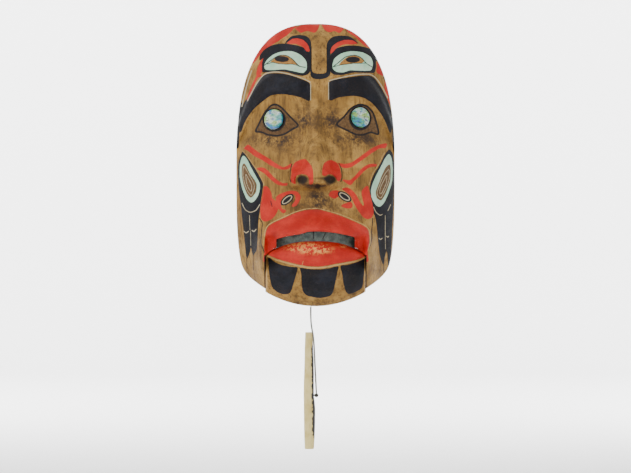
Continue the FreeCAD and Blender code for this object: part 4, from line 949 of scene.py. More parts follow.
def grime_and_shade_group() -> bpy.types.NodeTree:
    """Group that breaks up a soft amount of grime and painted shade into patches."""
    group, tree = new_group(
        "patchy_grime_and_shade",
        [("Vector", "NodeSocketVector", None), ("Amount", "NodeSocketFloat", 0.0)],
        [("Mask", "NodeSocketFloat")])
    source = tree.add("NodeGroupInput")
    broad = tree.noise(source.outputs["Vector"], 70.0, 5.0, 0.65)
    fine = tree.noise(source.outputs["Vector"], 420.0, 6.0, 0.7)
    patchy = tree.maths("ADD", tree.maths("MULTIPLY", broad, 0.6), tree.maths("MULTIPLY", fine, 0.6))
    mask = tree.maths("MULTIPLY", tree.ease(patchy, 0.44, 0.78), source.outputs["Amount"], True)
    tree.add("NodeGroupOutput", {"Mask": mask})
    return group


@dataclass(frozen=True)
class Finish:
    """A plain finish: two tones broken up by noise."""

    name: str
    first: Tuple[float, float, float, float]
    second: Tuple[float, float, float, float]
    roughness: float = 0.6
    metallic: float = 0.0
    scale: float = 200.0
    stretch: float = 1.0
    relief: float = 0.1

    def build(self) -> bpy.types.Material:
        """Makes the material.

        Returns:
            The material.
        """
        material = bpy.data.materials.new(self.name)
        material.use_nodes = True
        tree = Tree(material.node_tree)
        shader = material.node_tree.nodes["Principled BSDF"]
        place = tree.add("ShaderNodeTexCoord").outputs["Object"]
        vector = tree.add("ShaderNodeMapping", {"Vector": place,
                                                "Scale": (1.0, 1.0, self.stretch)}).outputs[0]
        value = tree.noise(vector, self.scale, 5.0, 0.6)
        colour = tree.mix(tree.ease(value, 0.35, 0.68), self.first, self.second)
        bumped = tree.add("ShaderNodeBump", {"Height": value, "Strength": self.relief,
                                             "Distance": 0.001})
        links = material.node_tree.links
        links.new(colour, shader.inputs["Base Color"])
        links.new(bumped.outputs[0], shader.inputs["Normal"])
        shader.inputs["Roughness"].default_value = self.roughness
        shader.inputs["Metallic"].default_value = self.metallic
        return material


@dataclass(frozen=True)
class PaintedWood:
    """Carved wood with worn paint laid over it in layers."""

    name: str
    groups: Dict[str, bpy.types.NodeTree]
    lit: float = 1.0

    def build(self) -> bpy.types.Material:
        """Makes the material.

        Returns:
            The material.
        """
        material = bpy.data.materials.new(self.name)
        material.use_nodes = True
        tree = Tree(material.node_tree)
        shader = material.node_tree.nodes["Principled BSDF"]
        place = tree.add("ShaderNodeTexCoord").outputs["Object"]

        def attribute(layer: Layer) -> bpy.types.NodeSocket:
            return tree.add("ShaderNodeAttribute", attribute_name=layer.value).outputs["Fac"]

        def group(name: str, inputs: Dict) -> bpy.types.Node:
            node = tree.add("ShaderNodeGroup", node_tree=self.groups[name])
            for key, value in {"Vector": place, **inputs}.items():
                if isinstance(value, bpy.types.NodeSocket):
                    tree.tree.links.new(value, node.inputs[key])
                else:
                    node.inputs[key].default_value = value
            return node

        def mask(layer: Layer, wobble: float, wear: float) -> bpy.types.NodeSocket:
            node = group("edge", {"Distance": attribute(layer), "Wobble": wobble, "Wear": wear})
            return node.outputs["Mask"]

        wood = group("wood", {})
        colour = wood.outputs["Color"]
        # grime, with painted shade in some patches, darkens the bare wood
        patchy_grime_and_shade = group("patchy_grime_and_shade", {"Amount": attribute(Layer.GRIME_AND_SHADE)}).outputs["Mask"]
        colour = tree.mix(patchy_grime_and_shade, colour, tint(58, 44, 34))
        cloud = tree.noise(place, 55.0, 5.0, 0.6)
        dusty = tree.noise(place, 500.0, 6.0, 0.75)
        black = tree.mix(tree.ease(cloud, 0.4, 0.7), tint(13, 15, 22), tint(25, 28, 38))
        black = tree.mix(tree.ease(dusty, 0.62, 0.8, 0.0, 0.3), black, tint(80, 82, 90))
        red = tree.mix(tree.ease(cloud, 0.38, 0.66), tint(178, 32, 24), tint(200, 50, 38))
        red = tree.mix(tree.ease(dusty, 0.56, 0.76, 0.0, 0.55), red, tint(128, 36, 28))
        mint = tree.mix(tree.ease(cloud, 0.38, 0.66), tint(160, 204, 172), tint(190, 220, 192))
        mint = tree.mix(tree.ease(dusty, 0.6, 0.8, 0.0, 0.35), mint, tint(140, 168, 148))
        tan = tree.mix(tree.ease(dusty, 0.4, 0.7), tint(166, 120, 62), tint(130, 88, 44))
        core = tree.mix(tree.ease(dusty, 0.4, 0.7), tint(110, 82, 50), tint(62, 45, 28))
        masks = [
            (mask(Layer.BLACK, 0.7, 0.25), black),
            (mask(Layer.RED, 0.9, 0.65), red),
            (mask(Layer.MINT, 0.6, 0.12), mint),
            (mask(Layer.INSET, 0.5, 0.1), tan),
            (mask(Layer.CORE, 0.6, 0.1), core),
            (mask(Layer.INK, 0.5, 0.1), tint(28, 27, 30)),
            (mask(Layer.LIGHT, 0.35, 0.6), tint(186, 172, 140)),
            (mask(Layer.BARE, 0.9, 0.4), tint(190, 150, 92)),
        ]
        painted: object = 0.0
        for cover, shade in masks:
            colour = tree.mix(cover, colour, shade)
            painted = tree.maths("MAXIMUM", painted, cover)
        # grime and painted shade laid once more over the paint
        over = tree.maths("MULTIPLY", patchy_grime_and_shade, 0.35)
        colour = tree.mix(over, colour, tint(60, 46, 36))
        # painted shade: positive amounts darken the colour towards near black
        shade_and_wear = attribute(Layer.SHADE_AND_WEAR)
        colour = tree.mix(tree.ease(shade_and_wear, 0.25, 0.9, 0.0, 0.96), colour, tint(26, 20, 18))
        # negative amounts: lighter orange wood where the paint is rubbed through
        rubbed = tree.maths("MULTIPLY", tree.ease(tree.maths("MULTIPLY", shade_and_wear, -1.0), 0.05, 0.75),
                            tree.ease(tree.noise(place, 330.0, 5.0, 0.7), 0.47, 0.56))
        orange = tree.mix(tree.noise(place, 700.0), tint(226, 128, 60), tint(236, 178, 98))
        colour = tree.mix(rubbed, colour, orange)
        dirt = group("patchy_grime_and_shade", {"Amount": 0.35}).outputs["Mask"]
        colour = tree.mix(tree.maths("MULTIPLY", dirt, 0.35), colour, tint(66, 50, 36))
        height = tree.maths("ADD", tree.maths("MULTIPLY", wood.outputs["Height"], 0.6),
                            tree.maths("MULTIPLY", painted, 0.25))
        bumped = tree.add("ShaderNodeBump", {"Height": height, "Strength": 0.6, "Distance": 0.001})
        links = material.node_tree.links
        links.new(colour, shader.inputs["Base Color"])
        links.new(bumped.outputs[0], shader.inputs["Normal"])
        rough = tree.ease(dusty, 0.35, 0.7, 0.5, 0.72)
        links.new(rough, shader.inputs["Roughness"])
        shader.inputs["Specular IOR Level"].default_value = 0.16
        return material


@dataclass(frozen=True)
class SeaShell:
    """Polished iridescent shell with fine grey growth lines."""

    name: str
    turn: float

    def build(self) -> bpy.types.Material:
        """Makes the material.

        Returns:
            The material.
        """
        material = bpy.data.materials.new(self.name)
        material.use_nodes = True
        tree = Tree(material.node_tree)
        shader = material.node_tree.nodes["Principled BSDF"]
        place = tree.add("ShaderNodeTexCoord").outputs["Object"]
        vector = tree.add("ShaderNodeMapping", {"Vector": place, "Rotation": (0.0, self.turn, 0.0),
                                                "Scale": (0.35, 1.0, 1.0)}).outputs[0]
        flow = tree.noise(vector, 105.0, 4.0, 0.6)
        sheen = tree.noise(vector, 190.0, 3.0, 0.6)
        colour = tree.mix(tree.ease(flow, 0.43, 0.55), tint(196, 214, 196), tint(44, 146, 134))
        colour = tree.mix(tree.ease(sheen, 0.53, 0.63, 0.0, 0.9), colour, tint(46, 96, 168))
        colour = tree.mix(tree.ease(sheen, 0.4, 0.48, 0.85, 0.0), colour, tint(136, 172, 62))
        rings = tree.maths("FRACT", tree.maths("MULTIPLY", flow, 7.0))
        line = tree.ease(rings, 0.0, 0.3, 1.0, 0.0)
        colour = tree.mix(tree.maths("MULTIPLY", line, 0.9), colour, tint(18, 42, 46))
        links = material.node_tree.links
        links.new(colour, shader.inputs["Base Color"])
        shader.inputs["Roughness"].default_value = 0.32
        shader.inputs["Coat Weight"].default_value = 0.25
        shader.inputs["Coat Roughness"].default_value = 0.08
        return material


@dataclass(frozen=True)
class StickWood:
    """Whittled pale wood, with a dark strip down its right side as painted shade."""

    name: str

    def build(self) -> bpy.types.Material:
        """Makes the material.

        Returns:
            The material.
        """
        material = bpy.data.materials.new(self.name)
        material.use_nodes = True
        tree = Tree(material.node_tree)
        shader = material.node_tree.nodes["Principled BSDF"]
        place = tree.add("ShaderNodeTexCoord").outputs["Object"]
        vector = tree.add("ShaderNodeMapping", {"Vector": place,
                                                "Scale": (1.0, 1.0, 0.08)}).outputs[0]
        fibre = tree.noise(vector, 900.0, 5.0, 0.65)
        cloud = tree.noise(place, 70.0, 4.0, 0.6)
        colour = tree.mix(tree.ease(cloud, 0.4, 0.65), tint(224, 204, 134), tint(206, 182, 108))
        colour = tree.mix(tree.ease(fibre, 0.55, 0.75, 0.0, 0.5), colour, tint(168, 142, 92))
        right_side_shade = tree.add("ShaderNodeAttribute", attribute_name="right_side_shade").outputs["Fac"]
        ragged = tree.maths("ADD", right_side_shade, tree.maths("MULTIPLY", tree.maths(
            "SUBTRACT", tree.noise(place, 260.0, 4.0), 0.5), 0.5))
        # dark strip: painted shade on the stick's right side
        colour = tree.mix(tree.ease(ragged, 0.74, 0.84), colour, tint(40, 34, 28))
        bumped = tree.add("ShaderNodeBump", {"Height": fibre, "Strength": 0.25, "Distance": 0.0006})
        links = material.node_tree.links
        links.new(colour, shader.inputs["Base Color"])
        links.new(bumped.outputs[0], shader.inputs["Normal"])
        shader.inputs["Roughness"].default_value = 0.6
        return material


class Palette:
    """All the materials, made once."""

    def __init__(self) -> None:
        """Makes the node groups and materials."""
        groups = {"edge": paint_edge_group(), "wood": wood_group(), "patchy_grime_and_shade": grime_and_shade_group()}
        self.painted = PaintedWood("painted wood", groups).build()
        self.shell_left = SeaShell("sea shell left", 0.15).build()
        self.shell_right = SeaShell("sea shell right", 0.7).build()
        self.stick = StickWood("whittled stick").build()
        self.plain = Finish("plain wood", tint(150, 116, 74), tint(188, 152, 102), 0.6, 0.0,
                            700.0, 0.1, 0.2).build()
        self.steel = Finish("dull steel", tint(112, 108, 102), tint(150, 146, 138), 0.42, 0.9,
                            600.0).build()
        self.brass = Finish("old brass", tint(120, 92, 48), tint(166, 132, 70), 0.4, 0.9, 500.0).build()
        self.rubber = Finish("old rubber", tint(138, 104, 70), tint(160, 126, 88), 0.7, 0.0,
                             300.0).build()
        self.cord = Finish("grey cord", tint(92, 90, 84), tint(142, 139, 130), 0.9, 0.0, 1800.0,
                           0.5, 0.6).build()
        self.knot = Finish("dark knot", tint(40, 38, 34), tint(70, 66, 58), 0.9, 0.0, 1800.0,
                           1.0, 0.5).build()
        self.strip = self._strip_finish(groups)
        # dark discs: painted shade inside the tie holes
        self.hole = Finish("dark hole", tint(20, 15, 12), tint(30, 24, 18), 0.9).build()

    @staticmethod
    def _strip_finish(groups: Dict[str, bpy.types.NodeTree]) -> bpy.types.Material:
        """Grey-green paint of the tooth strip."""
        material = bpy.data.materials.new("strip paint")
        material.use_nodes = True
        tree = Tree(material.node_tree)
        shader = material.node_tree.nodes["Principled BSDF"]
        place = tree.add("ShaderNodeTexCoord").outputs["Object"]
        cloud = tree.noise(place, 160.0, 5.0, 0.65)
        colour = tree.mix(tree.ease(cloud, 0.36, 0.66), tint(62, 76, 74), tint(104, 118, 110))
        ink = tree.add("ShaderNodeAttribute", attribute_name=Layer.INK.value).outputs["Fac"]
        colour = tree.mix(tree.ease(ink, -0.2, 0.2, 1.0, 0.0), colour, tint(18, 20, 22))
        bumped = tree.add("ShaderNodeBump", {"Height": cloud, "Strength": 0.2, "Distance": 0.001})
        material.node_tree.links.new(colour, shader.inputs["Base Color"])
        material.node_tree.links.new(bumped.outputs[0], shader.inputs["Normal"])
        shader.inputs["Roughness"].default_value = 0.55
        return material


# --------------------------------------------------------------- mesh building
def finish_mesh(name: str, bm: bmesh.types.BMesh, material: bpy.types.Material,
                sharp_degrees: float = 38.0) -> bpy.types.Object:
    """Turns a bmesh into an object with smooth faces and sharp corners.

    Args:
        name: the object's name.
        bm: the mesh, which is freed.
        material: its material.
        sharp_degrees: angle from which an edge is sharp.

    Returns:
        The object.
    """
    limit = math.radians(sharp_degrees)
    for face in bm.faces:
        face.smooth = True
    for edge in bm.edges:
        if len(edge.link_faces) == 2:
            edge.smooth = edge.calc_face_angle(0.0) < limit
    mesh = bpy.data.meshes.new(name)
    bm.to_mesh(mesh)
    bm.free()
    mesh.materials.append(material)
    item = bpy.data.objects.new(name, mesh)
    bpy.context.scene.collection.objects.link(item)
    return item


class CarvedBlock:
    """A carved front, a back and the walls between them, over one flat outline."""

    def __init__(self, name: str, outline: np.ndarray, spacing: float,
                 front: Callable, back: Callable, snaps: Sequence[np.ndarray] = (),
                 fine: Sequence["Patch"] = (),
                 rings: Sequence[float] = (0.03, 0.1, 0.22, 0.4, 0.7)) -> None:
        """Sets up the block.

        Args:
            name: the object's name.
            outline: closed outline (x, z) in millimetres.
            spacing: distance between grid points.
            front: height of the front above the wall plane, from x, z and edge distance.
            back: height of the back above the wall plane, from x and z.
            snaps: closed lines that grid points are moved onto.
            fine: paint whose thin lines need a finer grid.
            rings: where the walls are divided, as shares from front to back.
        """
        self.name = name
        self.outline = outline
        self.spacing = spacing
        self.front = front
        self.back = back
        self.snaps = snaps
        self.fine = fine
        self.rings = rings

    def _flat_grid(self) -> Tuple[bmesh.types.BMesh, np.ndarray]:
        """Flat grid cut to the outline, in millimetres."""
        low = self.outline.min(0) - self.spacing
        high = self.outline.max(0) + self.spacing
        count = np.ceil((high - low) / self.spacing).astype(int)
        bm = bmesh.new()
        bmesh.ops.create_grid(bm, x_segments=int(count[0]), y_segments=int(count[1]), size=1.0)
        flat = np.array([(v.co.x, v.co.y) for v in bm.verts])
        flat = (flat - flat.min(0)) / (flat.max(0) - flat.min(0))
        flat = low + flat * count * self.spacing
        gap, place = nearest(flat, self.outline, True)
        inside = within(flat, self.outline)
        on_edge = gap < 0.5 * self.spacing
        flat[on_edge] = place[on_edge]
        keep = inside | on_edge
        for line in self.snaps:
            near = keep & ~on_edge
            gap, place = nearest(flat[near], line, True)
            rows = np.where(near)[0][gap < 0.5 * self.spacing]
            flat[rows] = place[gap < 0.5 * self.spacing]
        bm.verts.ensure_lookup_table()
        for face in list(bm.faces):
            corners = list(face.verts)
            outside = [i for i, v in enumerate(corners) if not keep[v.index]]
            if len(outside) == 1 and len(corners) == 4:
                i = outside[0]
                bmesh.utils.face_split(face, corners[i - 1], corners[(i + 1) % 4])
        for vert, (x, z) in zip(bm.verts, flat):
            vert.co = (x, 0.0, z)
        gone = [v for v in bm.verts if not keep[v.index]]
        bmesh.ops.delete(bm, geom=gone, context="VERTS")
        thin = [f for f in bm.faces if f.calc_area() < 1e-4 * self.spacing ** 2]
        bmesh.ops.delete(bm, geom=thin, context="FACES_ONLY")
        loose = [v for v in bm.verts if not v.link_faces]
        bmesh.ops.delete(bm, geom=loose, context="VERTS")
        self._refine(bm)
        bm.verts.index_update()
        return bm, np.array([(v.co.x, v.co.z) for v in bm.verts])

    def _refine(self, bm: bmesh.types.BMesh) -> None:
        """Divides the grid once more along thin painted lines."""
        faces = list(bm.faces)
        middles = np.array([(c.x, c.z) for c in (f.calc_center_median() for f in faces)])
        near = np.zeros(len(faces), bool)
        for patch in self.fine:
            if 0.0 < patch.half_line < 0.7:
                near |= patch.distance(middles) < self.spacing
        edges = {edge for face, wanted in zip(faces, near) if wanted for edge in face.edges}
        if edges:
            bmesh.ops.subdivide_edges(bm, edges=list(edges), cuts=1, use_grid_fill=True,
                                      use_single_edge=True)
            many = [face for face in bm.faces if len(face.verts) > 4]
            bmesh.ops.triangulate(bm, faces=many)

    def build(self, material: bpy.types.Material) -> bpy.types.Object:
        """Makes the object.

        Args:
            material: its material.

        Returns:
            The object, with the attributes down and sheet.
        """
        bm, flat = self._flat_grid()
        down = bm.verts.layers.float.new("down")
        sheet = bm.verts.layers.float.new("sheet")
        edge_gap, _ = nearest(flat, self.outline, True)
        front = self.front(flat[:, 0], flat[:, 1], edge_gap)
        back = np.minimum(self.back(flat[:, 0], flat[:, 1]), front - 1.5)
        front_verts = list(bm.verts)
        copied = bmesh.ops.duplicate(bm, geom=front_verts + list(bm.edges) + list(bm.faces))
        pairs = copied["vert_map"]
        twins = [pairs[v] for v in front_verts]
        bmesh.ops.reverse_faces(bm, faces=[g for g in copied["geom"]
                                           if isinstance(g, bmesh.types.BMFace)])
        order = {v: i for i, v in enumerate(front_verts)}
        for i, (vert, twin) in enumerate(zip(front_verts, twins)):
            x, z = flat[i]
            vert.co = (x, -front[i], z)
            twin.co = (x, -back[i], z)
            twin[sheet] = 2.0
            twin[down] = 99.0
        rim = [e for e in bm.edges if len(e.link_faces) == 1 and e.verts[0] in order]
        owner = dict(order)
        for share in list(self.rings) + [1.0]:
            grown = bmesh.ops.extrude_edge_only(bm, edges=rim)["geom"]
            fresh = {g for g in grown if isinstance(g, bmesh.types.BMVert)}
            rim = [g for g in grown if isinstance(g, bmesh.types.BMEdge)
                   and g.verts[0] in fresh and g.verts[1] in fresh]
            passed = {}
            for vert in fresh:
                for edge in vert.link_edges:
                    other = edge.other_vert(vert)
                    if other not in fresh and other in owner:
                        passed[vert] = owner[other]
            for vert, i in passed.items():
                depth = front[i] + (back[i] - front[i]) * share
                vert.co = (flat[i][0], -depth, flat[i][1])
                vert[down] = front[i] - depth
                vert[sheet] = 1.0
            owner = passed
        bmesh.ops.weld_verts(bm, targetmap={v: twins[i] for v, i in owner.items()})
        bmesh.ops.dissolve_degenerate(bm, dist=1e-4, edges=list(bm.edges))
        bmesh.ops.recalc_face_normals(bm, faces=list(bm.faces))
        bmesh.ops.scale(bm, vec=(MM, MM, MM), verts=list(bm.verts))
        return finish_mesh(self.name, bm, material)


class Painter:
    """Lays distances to painted edges on a carved block."""

    def __init__(self, patches: Sequence[Patch], smudges: Sequence[Smudge] = (),
                 wrap: float = 9.0) -> None:
        """Sets up the paint.

        Args:
            patches: painted areas and lines.
            smudges: soft areas.
            wrap: how far the paint runs down the walls, in millimetres.
        """
        self.patches = patches
        self.smudges = smudges
        self.wrap = wrap

    def apply(self, item: bpy.types.Object) -> None:
        """Adds one attribute for each layer.

        Args:
            item: object with the attributes down and sheet.
        """
        mesh = item.data
        count = len(mesh.vertices)
        places = np.empty(count * 3)
        mesh.vertices.foreach_get("co", places)
        places = places.reshape(-1, 3) / MM
        flat = places[:, [0, 2]]
        down = np.empty(count)
        mesh.attributes["down"].data.foreach_get("value", down)
        values = {layer: np.full(count, FAR) for layer in Layer}
        values[Layer.GRIME_AND_SHADE] = np.zeros(count)
        values[Layer.SHADE_AND_WEAR] = np.zeros(count)
        for patch in self.patches:
            values[patch.layer] = np.minimum(values[patch.layer], patch.distance(flat))
        for smudge in self.smudges:
            values[smudge.layer] += smudge.amount(flat)
        ragged = self.wrap * (0.75 + 0.35 * np.sin(flat[:, 1] * 0.31) * np.sin(flat[:, 0] * 0.23 + 1.0))
        for layer, value in values.items():
            if layer is Layer.BARE:
                value = np.where(down > 1.5, FAR, value)
            elif layer in (Layer.GRIME_AND_SHADE, Layer.SHADE_AND_WEAR):
                value = np.where(down > 90.0, 0.0, value)
                if layer is Layer.GRIME_AND_SHADE:
                    # darker further back down the walls
                    value = value + 0.5 * np.clip(down / 20.0, 0.0, 1.0)
            else:
                value = np.maximum(value, down - ragged)
            attribute = mesh.attributes.new(layer.value, "FLOAT", "POINT")
            attribute.data.foreach_set("value", np.minimum(value, FAR).astype(np.float32))


# ---------------------------------------------------------------- sub-assemblies
class MaskShell:
    """The fixed carved face."""

    def __init__(self, palette: Palette) -> None:
        """Keeps the materials.

        Args:
            palette: all the materials.
        """
        self.palette = palette

    @staticmethod
    def front(x: np.ndarray, z: np.ndarray, edge: np.ndarray) -> np.ndarray:
        """Front height with the fine cuts.

        Args:
            x: distances from the middle.
            z: heights.
            edge: distances from the outline.

        Returns:
            The heights.
        """
        where = np.stack([x, z], axis=1)
        height = FORM.face(x, z) - 1.3 * np.exp(-edge / 1.1)
        for almond in (ALMOND_LEFT, ALMOND_RIGHT):
            gap = signed_distance(where, flowing(almond))
            height -= 0.9 * np.exp(-(gap / 0.8) ** 2) + 0.7 * smooth(-gap, -0.4, 1.0)
        for line in (MOUTH_LINE_LEFT, MOUTH_LINE_RIGHT):
            gap = Patch(Layer.INK, line, 0.01).distance(where)
            height -= 0.8 * np.exp(-(gap / 0.8) ** 2)
        for centre in (-15.6, 16.2):
            reach = ((x - centre) / 6.8) ** 2 + ((z + 165.6) / 5.2) ** 2
            height -= 7.0 * np.exp(-reach ** 2)
        for _, centre_x, centre_z in EYE_SPOTS:
            spread = np.hypot(x - centre_x, z - centre_z)
            height -= 1.8 * (1.0 - smooth(spread, 10.6, 11.8))
        return height

    @staticmethod
    def back(x: np.ndarray, z: np.ndarray) -> np.ndarray:
        """Back height: flat rim, hollow and hanging hole.

        Args:
            x: distances from the middle.
            z: heights.

        Returns:
            The heights.
        """
        chin = FORM.chin_z + 12.0
        half = FORM.outline_half(z, FORM.half_width - 12.0, FORM.crown_z - 16.0, chin)
        inside = (np.abs(x) < half - 0.06) & (z < FORM.crown_z - 16.05) & (z > chin)
        depth = np.where(inside, FORM.hollow(x, z), 0.0)
        return np.where(np.hypot(x, z) < 2.4, 11.0, depth)

    def build(self) -> List[bpy.types.Object]:
        """Makes the shell and the dark discs painted as shade in its tie holes.

        Returns:
            The objects.
        """
        hole = np.array(ovoid((0.0, 0.0), (2.6, 2.6), 0.0, 16))
        block = CarvedBlock("carved_face", FORM.shell_outline(), 1.25, self.front, self.back,
                            [FORM.hollow_outline(), hole], FACE_PAINT)
        shell = block.build(self.palette.painted)
        Painter(FACE_PAINT, FACE_SMUDGES).apply(shell)
        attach(shell, Body.MASK.value)
        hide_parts("mask_shell")
        made = [shell]
        # a dark disc on each side: painted shade where the tie holes are
        for side in (-1, 1):
            bm = bmesh.new()
            bmesh.ops.create_circle(bm, cap_ends=True, segments=20, radius=2.0 * MM)
            reach = float(FORM.outline_half(np.array([-99.0]), FORM.half_width, FORM.crown_z,
                                            FORM.chin_z)[0]) + 0.1
            turn = Matrix.Rotation(side * (math.pi / 2 - 0.07), 4, "Y")
            place = Matrix.Translation((side * reach * MM, -14 * MM, -99 * MM)) @ turn
            bmesh.ops.transform(bm, matrix=place, verts=list(bm.verts))
            disc = finish_mesh(f"tie_hole_shade_{'left' if side < 0 else 'right'}", bm, self.palette.hole)
            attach(disc, Body.MASK.value)
            made.append(disc)
        return made


class EyeDiscs:
    """Two slightly domed shell discs."""


    def __init__(self, palette: Palette) -> None:
        """Keeps the materials.

        Args:
            palette: all the materials.
        """
        self.palette = palette

    def build(self) -> List[bpy.types.Object]:
        """Makes the discs.

        Returns:
            The objects.
        """
        made = []
        for side, x, z in EYE_SPOTS:
            point, normal = FORM.surface_frame(x, z)
            bm = bmesh.new()
            bmesh.ops.create_cone(bm, cap_ends=True, segments=56, radius1=11.0, radius2=10.8, depth=2.4)
            bmesh.ops.translate(bm, vec=(0, 0, 1.2), verts=list(bm.verts))
            top = max(bm.faces, key=lambda f: f.calc_center_median().z)
            height = 2.4
            for inset, lift in ((0.5, 0.28), (1.6, 0.26), (2.4, 0.16), (3.0, 0.08)):
                bmesh.ops.inset_region(bm, faces=[top], thickness=inset, use_even_offset=True)
                height += lift
                for vert in top.verts:
                    vert.co.z = height
            turn = Vector((0, 0, 1)).rotation_difference(normal).to_matrix().to_4x4()
            foot = point - normal * 1.6
            place = Matrix.Scale(MM, 4) @ Matrix.Translation(foot) @ turn
            bmesh.ops.transform(bm, matrix=place, verts=list(bm.verts))
            material = self.palette.shell_left if side == "left" else self.palette.shell_right
            disc = finish_mesh(f"shell_disc_{side}", bm, material, 30.0)
            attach(disc, Body.MASK.value)
            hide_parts(f"eye_disc_{side}")
            made.append(disc)
        return made


class LowerJaw:
    """The hinged lower lip and chin with its tooth strip."""

    def __init__(self, palette: Palette) -> None:
        """Keeps the materials.

        Args:
            palette: all the materials.
        """
        self.palette = palette

    @staticmethod
    def front(x: np.ndarray, z: np.ndarray, edge: np.ndarray) -> np.ndarray:
        """Front height with worn edges.

        Args:
            x: distances from the middle.
            z: heights.
            edge: distances from the outline.

        Returns:
            The heights.
        """
        height = FORM.jaw(x, z)
        lip_top = FORM.lower_lip_edge(x)
        height -= 5.0 * np.exp(-np.maximum(lip_top - z, 0.0) / 2.2)
        return height - 0.9 * np.exp(-edge / 0.9)

    @staticmethod
    def back(x: np.ndarray, z: np.ndarray) -> np.ndarray:
        """Back height: round hollow in a flat back.

        Args:
            x: distances from the middle.
            z: heights.

        Returns:
            The heights.
        """
        radius = BORE_RADIUS - np.maximum(0.0, -252.0 - z) * (40.3 / 51.0)
        reach = np.sqrt(np.maximum(radius ** 2 - x ** 2, 0.0))
        depth = BORE_MIDDLE + reach
        return np.where((np.abs(x) < 41.95) & (depth > 42.0), depth, 42.0)

    def build(self) -> List[bpy.types.Object]:
        """Makes the jaw and the strip.

        Returns:
            The objects.
        """
        edges = [np.array([(s * 42.0, -310.0), (s * 42.0, -200.0), (s * 42.001, -200.0)])
                 for s in (-1, 1)]
        block = CarvedBlock("carved_jaw", FORM.jaw_outline(), 1.0, self.front, self.back, edges,
                            JAW_PAINT)
        jaw = block.build(self.palette.painted)
        Painter(JAW_PAINT, JAW_SMUDGES, 12.0).apply(jaw)
        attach(jaw, Body.JAW.value)
        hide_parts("jaw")
        across = np.linspace(-STRIP_HALF, STRIP_HALF, 60)
        top = np.stack([across, FORM.mouth_roof(across) - 0.03], axis=1)
        outline = np.concatenate([[(-41.6, -247.4), (-STRIP_HALF, -241.0)], top,
                                  [(STRIP_HALF, -241.0), (41.6, -247.4)]])
        strip = CarvedBlock(
            "tooth_band", outline, 0.8,
            lambda x, z, edge: strip_face(x) - 0.05 - 0.4 * np.exp(-edge / 0.5),
            lambda x, z: strip_face(x) - 3.0, (), STRIP_PAINT, (0.2, 0.8))
        band = strip.build(self.palette.strip)
        Painter(STRIP_PAINT, (), 2.0).apply(band)
        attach(band, Body.JAW.value)
        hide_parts("tooth_strip")
        return [jaw, band]


class Mechanism:
    """Hinge, arms, screws and band, which keep their CAD shapes."""

    FINISHES = {
        "hinge_block_left": "plain", "hinge_block_right": "plain", "rod_spacers": "plain",
        "jaw_arm_left": "plain", "jaw_arm_right": "plain", "hinge_rod": "steel",
        "band_screw_upper": "steel", "band_screw_lower": "steel", "arm_screws": "steel",
        "cord_eye": "steel", "strip_tacks": "brass", "return_band": "rubber",
        "cord_top_knot": "cord", "cord_end_knot": "knot",
    }

    def __init__(self, palette: Palette) -> None:
        """Keeps the materials.

        Args:
            palette: all the materials.
        """
        self.palette = palette

    def build(self) -> None:
        """Gives the CAD nodes their materials."""
        for node, finish in self.FINISHES.items():
            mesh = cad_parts[node].data
            mesh.materials.clear()
            mesh.materials.append(getattr(self.palette, finish))


class PullCord:
    """Grey cord from the screw eye to the stick."""

    ROUTE = [(-5.2, -50.0, -303.4), (-5.3, -50.3, -313.0), (-4.6, -51.6, -325.0),
             (-1.9, -52.9, -337.0), (-0.5, -52.6, -369.0), (1.0, -50.6, -398.2)]
    RADIUS = 0.95

    def __init__(self, palette: Palette) -> None:
        """Keeps the materials.

        Args:
            palette: all the materials.
        """
        self.palette = palette

    def build(self) -> bpy.types.Object:
        """Makes the cord.

        Returns:
            The object.
        """
        curve = bpy.data.curves.new("grey_cord", "CURVE")
        curve.dimensions = "3D"
        spline = curve.splines.new("NURBS")
        spline.points.add(len(self.ROUTE) - 1)
        for point, place in zip(spline.points, self.ROUTE):
            point.co = (place[0] * MM, place[1] * MM, place[2] * MM, 1.0)
        spline.order_u = 3
        spline.use_endpoint_u = True
        spline.resolution_u = 12
        curve.bevel_depth = self.RADIUS * MM
        curve.bevel_resolution = 4
        curve.use_fill_caps = True
        curve.materials.append(self.palette.cord)
        item = bpy.data.objects.new("grey_cord", curve)
        bpy.context.scene.collection.objects.link(item)
        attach(item, Body.CORD.value)
        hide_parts("pull_cord")
        return item


